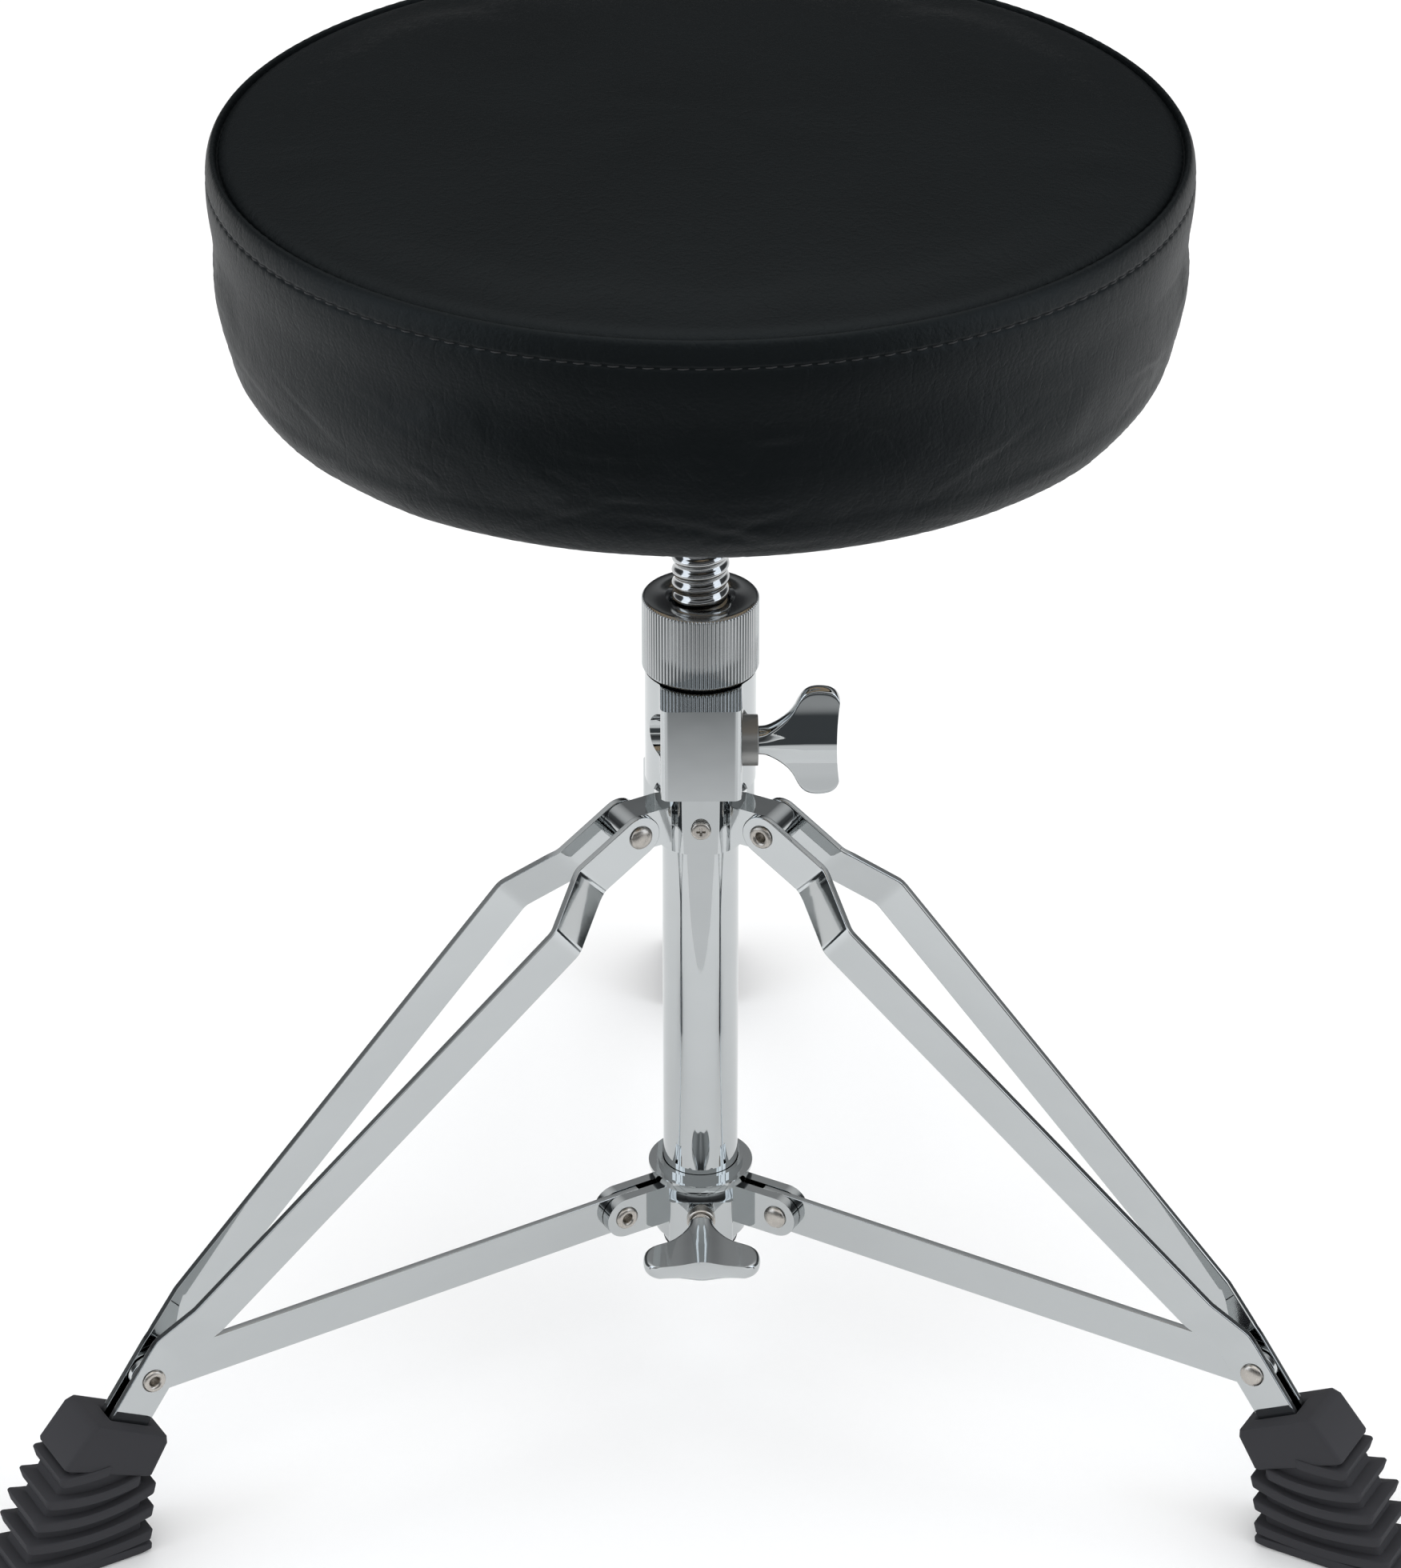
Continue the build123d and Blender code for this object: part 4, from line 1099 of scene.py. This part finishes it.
@dataclass
class WingScrew:
    """A cast wing head on a threaded stud."""

    node: str
    joint_name: str
    wings: Wings
    stud_length: float
    outline: tuple[Point, ...] = (
        (0.0, 5.0), (2.8, 5.4), (5.8, 7.0), (8.6, 9.1), (11.0, 11.4), (12.8, 14.0), (14.3, 17.1), (15.9, 19.7),
        (18.0, 21.4), (20.6, 22.1), (23.4, 22.1), (26.2, 21.5), (28.3, 20.0), (29.5, 17.8), (29.7, 15.8),
    )
    tip_dip: float = 1.4
    web: float = 2.6
    ridge: float = 1.6
    ridge_width: float = 6.5
    neck: float = 4.9
    neck_end: float = 17.0
    stud: float = 3.95
    pitch: float = 1.25

    def bench(self) -> Bench:
        """The screw's own frame: along its axis and across its wings."""
        entry = joint(self.joint_name)
        along = Vector(entry["axis"]).normalized()
        across = Vector((0, 0, 1)) if self.wings is Wings.UPRIGHT else Vector((1, 0, 0))
        return Bench(Vector(entry["pos_m"]), along, across)

    def half_width(self, share: float) -> tuple[float, float]:
        """A point of the outline at a share of its length, as (along, half width)."""
        place = share * (len(self.outline) - 1)
        index = min(int(place), len(self.outline) - 2)
        part = place - index
        ends = [self.outline[max(0, min(len(self.outline) - 1, index + step))] for step in (-1, 0, 1, 2)]
        result = []
        for axis in (0, 1):
            p0, p1, p2, p3 = (end[axis] for end in ends)
            a, b = (p2 - p0) / 2, (p3 - p1) / 2
            cube = (2 * p1 - 2 * p2 + a + b) * part**3 + (3 * p2 - 3 * p1 - 2 * a - b) * part**2 + a * part + p1
            result.append(cube)
        return result[0], result[1]

    def thickness(self, u: float, v: float, edge: float) -> float:
        """Half the head's thickness at a point, rounded off near its edge."""
        neck = max(0.0, 1 - u / self.neck_end)
        barrel = self.neck * neck**0.55
        round_part = math.sqrt(max(0.0, barrel**2 - v**2)) if barrel > abs(v) else 0.0
        web = self.web + self.ridge * math.exp(-((v / self.ridge_width) ** 2))
        blend = 0.5 * (round_part + web + math.sqrt((round_part - web) ** 2 + 0.9))
        lip = min(1.0, edge / 2.0)
        return blend * math.sqrt(max(0.0, 1 - (1 - lip) ** 2.6))

    def head(self) -> bpy.types.Object:
        """Build the wing head as two sculpted faces that meet at a rounded edge."""
        bench = self.bench()
        long, wide = 72, 64
        shape = Shape()
        rows: dict[int, list[list[Vector]]] = {1: [], -1: []}
        for i in range(long + 1):
            share = math.sin(math.pi / 2 * i / long) ** 1.15
            along, half = self.half_width(share)
            for side in rows:
                row = []
                for j in range(wide + 1):
                    s = math.sin(math.pi / 2 * (2 * j / wide - 1))
                    dip = self.tip_dip * (1 - (s * half / 16.4) ** 2) * share**6 if abs(s * half) < 16.4 else 0.0
                    u, v = along - dip, s * half
                    edge = min((1 - abs(s)) * half, (1 - share) * 26.0)
                    row.append(bench.point(u, v, side * self.thickness(u, v, edge)))
                rows[side].append(row)
        for side in rows:
            shape.grid(rows[side], False)
        start = rows[1][0] + rows[-1][0][::-1][1:-1]
        first = len(shape.points)
        shape.points.extend(start)
        shape.cap(first, len(start), bench.point(0, 0, 0), True)
        piece = shape.build(f"{self.node}_head", body_of(self.node), [CHROME])
        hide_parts(self.node)
        return piece

    def build(self) -> None:
        """Build the head and its stud."""
        self.head()
        bench = self.bench()
        thread = Shape()
        rows = bench.turned([(-self.stud_length, 2.6), (-self.stud_length + 0.8, 3.2)], 40)
        rows += bench.threaded(-self.stud_length + 1.0, 0.0, self.stud, 0.6, self.pitch)
        rows += bench.turned([(1.5, self.stud)], 40)
        thread.tube(rows)
        thread.build(f"{self.node}_stud", body_of(self.node), [NICKEL])


@dataclass
class Clamp:
    """The clamp housing with its two jaws, washer and wing screw."""

    def build(self) -> None:
        """Dress the housing and build the wing screw."""
        machined("clamp_housing", CHROME, 0.7, 3)
        machined("clamp_jaw_outer", STEEL, 0.3)
        machined("clamp_jaw_inner", STEEL, 0.3)
        keep("nut_washer", PLASTIC)
        low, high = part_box("clamp_wing_screw")
        entry = joint("clamp_screw_turn")
        length = (entry["pos_m"][0] - low.x) / MM
        WingScrew("clamp_wing_screw", "clamp_screw_turn", Wings.UPRIGHT, length).build()


@dataclass
class Column:
    """The outer tube with its plug, bush and crown."""

    def build(self) -> None:
        """Dress the tube and the pieces fixed on it."""
        machined("base_tube", CHROME, 0.3)
        keep("guide_bush", PLASTIC)
        machined("tube_plug", PLASTIC, 0.3)
        machined("leg_crown", CHROME, 0.6, 3)
        machined("crown_screw", NICKEL, 0.15)


# ---- legs --------------------------------------------------------------------------------------------


@dataclass
class Rivet:
    """A tubular rivet: a dome on one side, a rolled hollow end on the other."""

    node: str
    body: str
    pivot: Vector
    axis: Vector
    half_grip: float
    dome: int
    gap: float = 0.0
    shank: float = 3.0
    head: float = 4.6
    rise: float = 2.2
    roll: float = 1.15
    bore: float = 1.9

    def dome_profile(self) -> list[Point]:
        """The domed side, from inside the grip outwards."""
        start = self.gap / 2 if self.gap else 0.0
        edge = self.head
        points = [(start, self.shank), (self.half_grip - 0.01, self.shank), (self.half_grip, edge - 0.25)]
        points += [(self.half_grip + 0.2, edge)]
        for step in range(1, 12):
            angle = math.radians(90 * step / 12)
            points.append((self.half_grip + 0.2 + (self.rise - 0.2) * math.sin(angle), edge * math.cos(angle) ** 0.85))
        return points

    def rolled_profile(self) -> list[Point]:
        """The rolled side: out round the lip and down into the hollow."""
        start = self.gap / 2 if self.gap else 0.0
        points = [(start, self.shank), (self.half_grip - 0.01, self.shank), (self.half_grip, self.head - 0.35)]
        middle = (self.head + self.bore) / 2
        half = (self.head - self.bore) / 2
        for step in range(13):
            angle = math.radians(180 * step / 12)
            points.append((self.half_grip + 0.15 + self.roll * math.sin(angle), middle + half * math.cos(angle)))
        points += [(self.half_grip - 1.2, self.bore * 0.92), (self.half_grip - 2.4, self.bore * 0.6)]
        return points

    def build(self) -> None:
        """Build both ends of the rivet."""
        out = self.axis * self.dome
        across = Vector((0, 0, 1))
        shape = Shape()
        shape.tube(Bench(self.pivot, out, across).turned(self.dome_profile(), 40))
        shape.tube(Bench(self.pivot, -out, across).turned(self.rolled_profile(), 40))
        piece = shape.build(f"{self.node}_finished", self.body, [NICKEL])
        soften(piece, 50.0)
        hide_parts(self.node)


@dataclass
class RubberFoot:
    """The ribbed rubber boot on a leg's end, drawn in the leg's own plane."""

    name: str
    outward: Vector
    half_width: float = 12.5
    corner: float = 1.6
    ribs: tuple[tuple[Point, Point, float], ...] = (
        # heel end, toe end, sag in the middle
        ((257.0, 45.5), (278.0, 46.8), 0.6),
        ((246.0, 36.5), (284.0, 39.2), 2.6),
        ((240.2, 31.0), (289.4, 31.2), 4.4),
        ((241.7, 21.0), (293.0, 22.2), 3.6),
        ((242.8, 10.5), (297.0, 12.2), 2.2),
    )
    rib_thick: float = 4.9
    cap: tuple[Point, Point, Point, Point] = ((241.8, 33.9), (275.8, 49.3), (233.3, 48.4), (262.5, 64.3))
    slot_middle: Point = (245.8, 55.2)
    slot_half: float = 8.2
    slot_width: float = 4.4
    strip_slope: float = 54.2
    cap_slope: float = 28.6

    def point(self, radius: float, side: float, height: float) -> Vector:
        """A point of the foot from its distance out, its side offset and its height, in millimetres."""
        tangent = Vector((-self.outward.y, self.outward.x, 0))
        place = Vector((COLUMN.x, COLUMN.y, 0)) + self.outward * radius * MM + tangent * side * MM
        place.z = height * MM
        return place

    def loop(
        self, inner: Point, outer: Point, half: float, inset: float = 0.0, sag: float = 0.0, corner: float | None = None
    ) -> list[Vector]:
        """A rounded-rectangle ring between two points of the leg's plane.

        Args:
            inner: (radius, height) of its heel end.
            outer: (radius, height) of its toe end.
            half: Half its width.
            inset: How far it is drawn in all round.
            sag: How far its middle hangs below the straight line.
            corner: Radius of its corners, or None for the foot's own.

        Returns:
            The ring's points.
        """
        rounding = self.corner if corner is None else corner
        length = outer[0] - inner[0]
        start, end = inset, length - inset
        wide = half - inset
        rounding = min(rounding, wide - 0.1)
        outline: list[Point] = []
        sides = (
            ((end - rounding, -wide + rounding), -90), ((end - rounding, wide - rounding), 0),
            ((start + rounding, wide - rounding), 90), ((start + rounding, -wide + rounding), 180),
        )
        for (cx, cy), first in sides:
            for step in range(7):
                angle = math.radians(first + 15 * step)
                outline.append((cx + rounding * math.cos(angle), cy + rounding * math.sin(angle)))
        dense: list[Point] = []
        for index, (x, y) in enumerate(outline):
            nx, ny = outline[(index + 1) % len(outline)]
            steps = 12 if index % 7 == 6 else 1
            dense += [(x + (nx - x) * k / steps, y + (ny - y) * k / steps) for k in range(steps)]
        result = []
        for x, y in dense:
            share = x / length
            height = inner[1] + (outer[1] - inner[1]) * share - sag * 4 * share * (1 - share)
            result.append(self.point(inner[0] + x, y, height))
        return result

    def core(self, shape: Shape) -> None:
        """Add the body inside the ribs, from the sole to the cap."""
        half = self.half_width
        levels = (
            ((248.0, 0.0), (292.0, 0.0), 2.4), ((246.6, 0.0), (296.5, 0.0), 1.2), ((243.4, 1.6), (300.0, 1.6), 0.0),
            ((243.2, 3.2), (300.6, 4.8), 0.0), ((243.6, 4.0), (300.0, 5.4), 0.3), ((246.0, 5.0), (296.0, 6.0), 3.0),
            ((246.0, 12.0), (291.5, 13.0), 3.2), ((245.6, 21.0), (287.5, 22.5), 3.2), ((244.6, 30.0), (283.5, 31.5), 3.0),
            ((245.0, 37.0), (278.0, 39.5), 2.6), ((250.0, 44.0), (272.5, 47.0), 1.6), ((252.0, 50.0), (268.0, 52.0), 1.6),
        )
        shape.tube([self.loop(inner, outer, half - inset) for inner, outer, inset in levels])

    def rib(self, shape: Shape, heel: Point, toe: Point, sag: float) -> None:
        """Add one rib: a thin rounded shelf, thickest at its root."""
        thick = self.rib_thick
        levels = ((5.0, -thick), (1.5, -thick), (0.6, -thick + 0.5), (0.0, -0.7), (0.25, -0.15), (0.9, 0.0), (5.0, -0.5))
        rows = []
        for inset, up in levels:
            start = (heel[0] + inset, heel[1] + up)
            end = (toe[0] - inset * 1.15, toe[1] + up)
            rows.append(self.loop(start, end, self.half_width + 0.5 - inset, 0.0, sag))
        shape.tube(rows)

    def crown(self, shape: Shape) -> None:
        """Add the cap and the slot that the strips stand in."""
        inner_low, outer_low, inner_top, outer_top = self.cap
        half = self.half_width
        rows = [self.loop(inner_low, outer_low, half, 3.0), self.loop(inner_low, outer_low, half, 0.5)]
        for share in (0.05, 0.5, 0.86):
            inner = tuple(low + (top - low) * share for low, top in zip(inner_low, inner_top))
            outer = tuple(low + (top - low) * share for low, top in zip(outer_low, outer_top))
            rows.append(self.loop(inner, outer, half))
        rows.append(self.loop((inner_top[0] + 0.2, inner_top[1]), (outer_top[0] - 0.3, outer_top[1] - 0.3), half, 0.7))
        rows.append(self.loop((inner_top[0] + 0.4, inner_top[1] + 0.2), (outer_top[0] - 0.5, outer_top[1]), half, 2.2))
        slope, tilt = math.radians(self.strip_slope), math.radians(self.cap_slope)
        for depth, grow in ((-0.2, 1.8), (-0.1, 0.9), (0.5, 0.25), (1.2, 0.0), (10.0, 0.0)):
            middle = (self.slot_middle[0] + depth * math.cos(slope), self.slot_middle[1] - depth * math.sin(slope))
            reach = self.slot_half + grow
            inner = (middle[0] - reach * math.cos(tilt), middle[1] - reach * math.sin(tilt))
            outer = (middle[0] + reach * math.cos(tilt), middle[1] + reach * math.sin(tilt))
            rows.append(self.loop(inner, outer, self.slot_width + grow, 0.0, 0.0, 0.5))
        shape.tube(rows)

    def treads(self, shape: Shape) -> None:
        """Add the cross bars moulded under the sole."""
        for bar in range(6):
            centre = 250.5 + 8.2 * bar
            rows = []
            for side, taper in ((-11.6, 0.5), (-11.0, 0.0), (11.0, 0.0), (11.6, 0.5)):
                section = ((-1.9 + taper, 0.02), (1.9 - taper, 0.02), (2.5 - taper, 2.2), (-2.5 + taper, 2.2))
                rows.append([self.point(centre + out, side, height + taper) for out, height in section])
            shape.tube(rows)

    def build(self) -> None:
        """Build the boot and put it on its leg."""
        shape = Shape()
        self.core(shape)
        self.crown(shape)
        for heel, toe, sag in self.ribs:
            self.rib(shape, heel, toe, sag)
        self.treads(shape)
        piece = shape.build(f"foot_{self.name}_boot", f"leg_{self.name}", [RUBBER])
        soften(piece, 48.0)
        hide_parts(f"foot_{self.name}")


@dataclass
class Leg:
    """One folding leg: its two strips, its stay, its rivets and its foot."""

    name: str
    strip_edge: float = 0.55
    upper_grip: float = 8.7
    lower_grip: float = 4.3
    lower_gap: float = 3.6
    ear_grip: float = 5.55

    def build(self) -> None:
        """Dress the strips and stay, and build the rivets and the foot."""
        fold = joint(f"leg_fold_{self.name}")
        swing = joint(f"stay_fold_{self.name}")
        tangent = Vector(fold["axis"]).normalized()
        outward = Vector((tangent.y, -tangent.x, 0))
        leg, stay = f"leg_{self.name}", f"stay_{self.name}"
        for side in ("a", "b"):
            machined(f"leg_strip_{self.name}_{side}", CHROME, self.strip_edge, 3)
        machined(stay, CHROME, self.strip_edge, 3)
        low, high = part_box(f"lower_rivet_{self.name}")
        reach = ((low + high) / 2 - COLUMN).dot(outward)
        lower = Vector((COLUMN.x, COLUMN.y, (low.z + high.z) / 2)) + outward * reach
        Rivet(f"upper_rivet_{self.name}", leg, Vector(fold["pos_m"]), tangent, self.upper_grip, 1).build()
        Rivet(f"lower_rivet_{self.name}", leg, lower, tangent, self.lower_grip, -1, self.lower_gap).build()
        Rivet(f"collar_rivet_{self.name}", "collar", Vector(swing["pos_m"]), tangent, self.ear_grip, -1).build()
        RubberFoot(self.name, outward).build()


@dataclass
class Collar:
    """The sliding collar, its bush and pad, and its wing screw in a threaded sleeve."""

    sleeve_outer: float = 5.4
    sleeve_inner: float = 4.15
    sleeve_stands: float = 1.9
    boss_front: float = 24.5

    def build(self) -> None:
        """Dress the collar and build the sleeve and the wing screw."""
        machined("sliding_collar", CHROME, 0.6, 3)
        keep("collar_bush", PLASTIC)
        keep("collar_pad", PLASTIC)
        entry = joint("collar_screw_turn")
        axis = Vector(entry["axis"]).normalized()
        bench = Bench(Vector((COLUMN.x, COLUMN.y, entry["pos_m"][2])), axis, Vector((1, 0, 0)))
        face, outer, inner = self.boss_front, self.sleeve_outer, self.sleeve_inner
        end = face + self.sleeve_stands
        profile = [
            (face - 0.2, inner), (face - 0.2, outer), (end - 0.4, outer), (end, outer - 0.4), (end, inner + 0.3),
            (end - 0.3, inner), (face - 0.2, inner),
        ]
        sleeve = Shape()
        sleeve.grid(bench.turned(profile))
        soften(sleeve.build("collar_thread_sleeve", "collar", [NICKEL]), 40.0)
        low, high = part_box("collar_wing_screw")
        length = (high.y - entry["pos_m"][1]) / MM
        WingScrew("collar_wing_screw", "collar_screw_turn", Wings.LEVEL, length).build()


# ---- studio --------------------------------------------------------------------------------------------


@dataclass
class Studio:
    """The floor, the lights, the surroundings and the camera."""

    distance: float = 1.6176
    height: float = 1.1789
    pitch: float = 29.82
    yaw: float = -0.53
    lens: float = 115.7
    floor_half: float = 9.0

    def floor(self) -> None:
        """Lay the pale floor."""
        mesh = bpy.data.meshes.new("studio_floor")
        half = self.floor_half
        corners = [(-half, -half, 0), (half, -half, 0), (half, half, 0), (-half, half, 0)]
        mesh.from_pydata(corners, [], [(0, 1, 2, 3)])
        floor = bpy.data.objects.new("studio_floor", mesh)
        bpy.context.scene.collection.objects.link(floor)
        mesh.materials.append(PAPER.material())

    def lay_reflection_card(self) -> None:
        """Lay the painted reflection of the set's dark edge in front of the paper: a glowing card that only mirrors
        see.
        """
        mesh = bpy.data.meshes.new("painted_reflection_card")
        near, far, wide = COLUMN.y - 0.30, COLUMN.y - 4.0, 3.0
        corners = [(-wide, far, 0.001), (wide, far, 0.001), (wide, near, 0.001), (-wide, near, 0.001)]
        mesh.from_pydata(corners, [], [(0, 1, 2, 3)])
        card = bpy.data.objects.new("painted_reflection_card", mesh)
        bpy.context.scene.collection.objects.link(card)
        # Painted reflection: this card is seen only in mirrors, glowing with a fade from paper to dark.
        mesh.materials.append(REFLECTION_CARD.material())
        card.visible_camera = False
        card.visible_diffuse = False
        card.visible_shadow = False
        card.visible_transmission = False

    def lamp(self, name: str, place: Colour, size: Point, power: float, tint: Colour = (1, 1, 1)) -> None:
        """Hang a soft box that looks at the middle of the throne."""
        data = bpy.data.lights.new(name, "AREA")
        data.shape = "RECTANGLE"
        data.size, data.size_y = size
        data.energy = power
        data.color = tint
        lamp = bpy.data.objects.new(name, data)
        bpy.context.scene.collection.objects.link(lamp)
        lamp.location = place
        aim = Vector((COLUMN.x, COLUMN.y, 0.28)) - Vector(place)
        lamp.rotation_euler = aim.to_track_quat("-Z", "Y").to_euler()

    def surroundings(self) -> None:
        """Paint the studio around the throne: even for plain light, banded where metal mirrors it."""
        world = bpy.data.worlds.new("studio")
        bpy.context.scene.world = world
        world.use_nodes = True
        graph = Graph(world.node_tree)
        direction = graph.add("ShaderNodeTexCoord").outputs["Generated"]
        parts = graph.add("ShaderNodeSeparateXYZ", None, {0: direction})
        up = Value(graph, parts.outputs["Z"])
        back = Value(graph, parts.outputs["Y"]).at_least(0.0)
        stops = [
            (0.00, (0.75, 0.76, 0.77)), (0.06, (0.16, 0.165, 0.17)), (0.20, (0.05, 0.052, 0.055)),
            (0.42, (0.10, 0.105, 0.11)), (0.56, (0.65, 0.66, 0.67)), (0.80, (1.25, 1.25, 1.25)),
        ]
        bands = graph.add("ShaderNodeValToRGB", {"stops": stops}, {0: up})
        path = graph.add("ShaderNodeLightPath")
        strength = 1.0 - 0.72 * back**2.0
        mirror = graph.add("ShaderNodeBackground", None, {"Color": bands.outputs[0], "Strength": strength})
        plain = graph.add("ShaderNodeBackground", None, {"Color": (1.0, 1.0, 1.0), "Strength": 1.08})
        mixed = graph.add(
            "ShaderNodeMixShader", None, {0: path.outputs["Is Glossy Ray"], 1: plain.outputs[0], 2: mirror.outputs[0]}
        )
        graph.add("ShaderNodeOutputWorld", None, {"Surface": mixed.outputs[0]})

    def camera(self) -> None:
        """Set the camera in front of the throne, looking down on it."""
        data = bpy.data.cameras.new("camera")
        data.lens = self.lens
        data.sensor_width = 36.0
        data.clip_end = 40.0
        camera = bpy.data.objects.new("camera", data)
        bpy.context.scene.collection.objects.link(camera)
        turn = Matrix.Rotation(math.radians(self.yaw), 4, "Z")
        offset = turn @ Vector((0, -self.distance, 0))
        camera.location = (COLUMN.x + offset.x, COLUMN.y + offset.y, self.height)
        camera.rotation_euler = (math.radians(90 - self.pitch), 0, math.radians(self.yaw))
        bpy.context.scene.camera = camera

    def build(self) -> None:
        """Set up the whole studio."""
        self.floor()
        self.lay_reflection_card()
        self.surroundings()
        self.camera()
        self.lamp("left_box", (-1.5, -0.7, 0.75), (0.9, 1.3), 7.0, (0.86, 0.92, 1.0))
        self.lamp("right_box", (1.5, -0.7, 0.75), (0.9, 1.3), 7.0, (0.86, 0.92, 1.0))
        self.lamp("top_box", (0.2, -0.2, 2.3), (1.6, 1.6), 5.0)
        bpy.context.scene.view_settings.view_transform = "Standard"


def main() -> None:
    """Build the throne, part by part, and the studio around it."""
    logging.basicConfig(level=logging.INFO, format="%(name)s: %(message)s")
    parts: Iterable[Any] = (
        Studio(), Cushion(), SeatPlate(), Spindle(), HeightNut(), Clamp(), Column(), Collar(),
        Leg("rear"), Leg("left"), Leg("right"),
    )
    for part in parts:
        LOG.info("building %s", type(part).__name__)
        part.build()


if __name__ == "__main__":
    main()
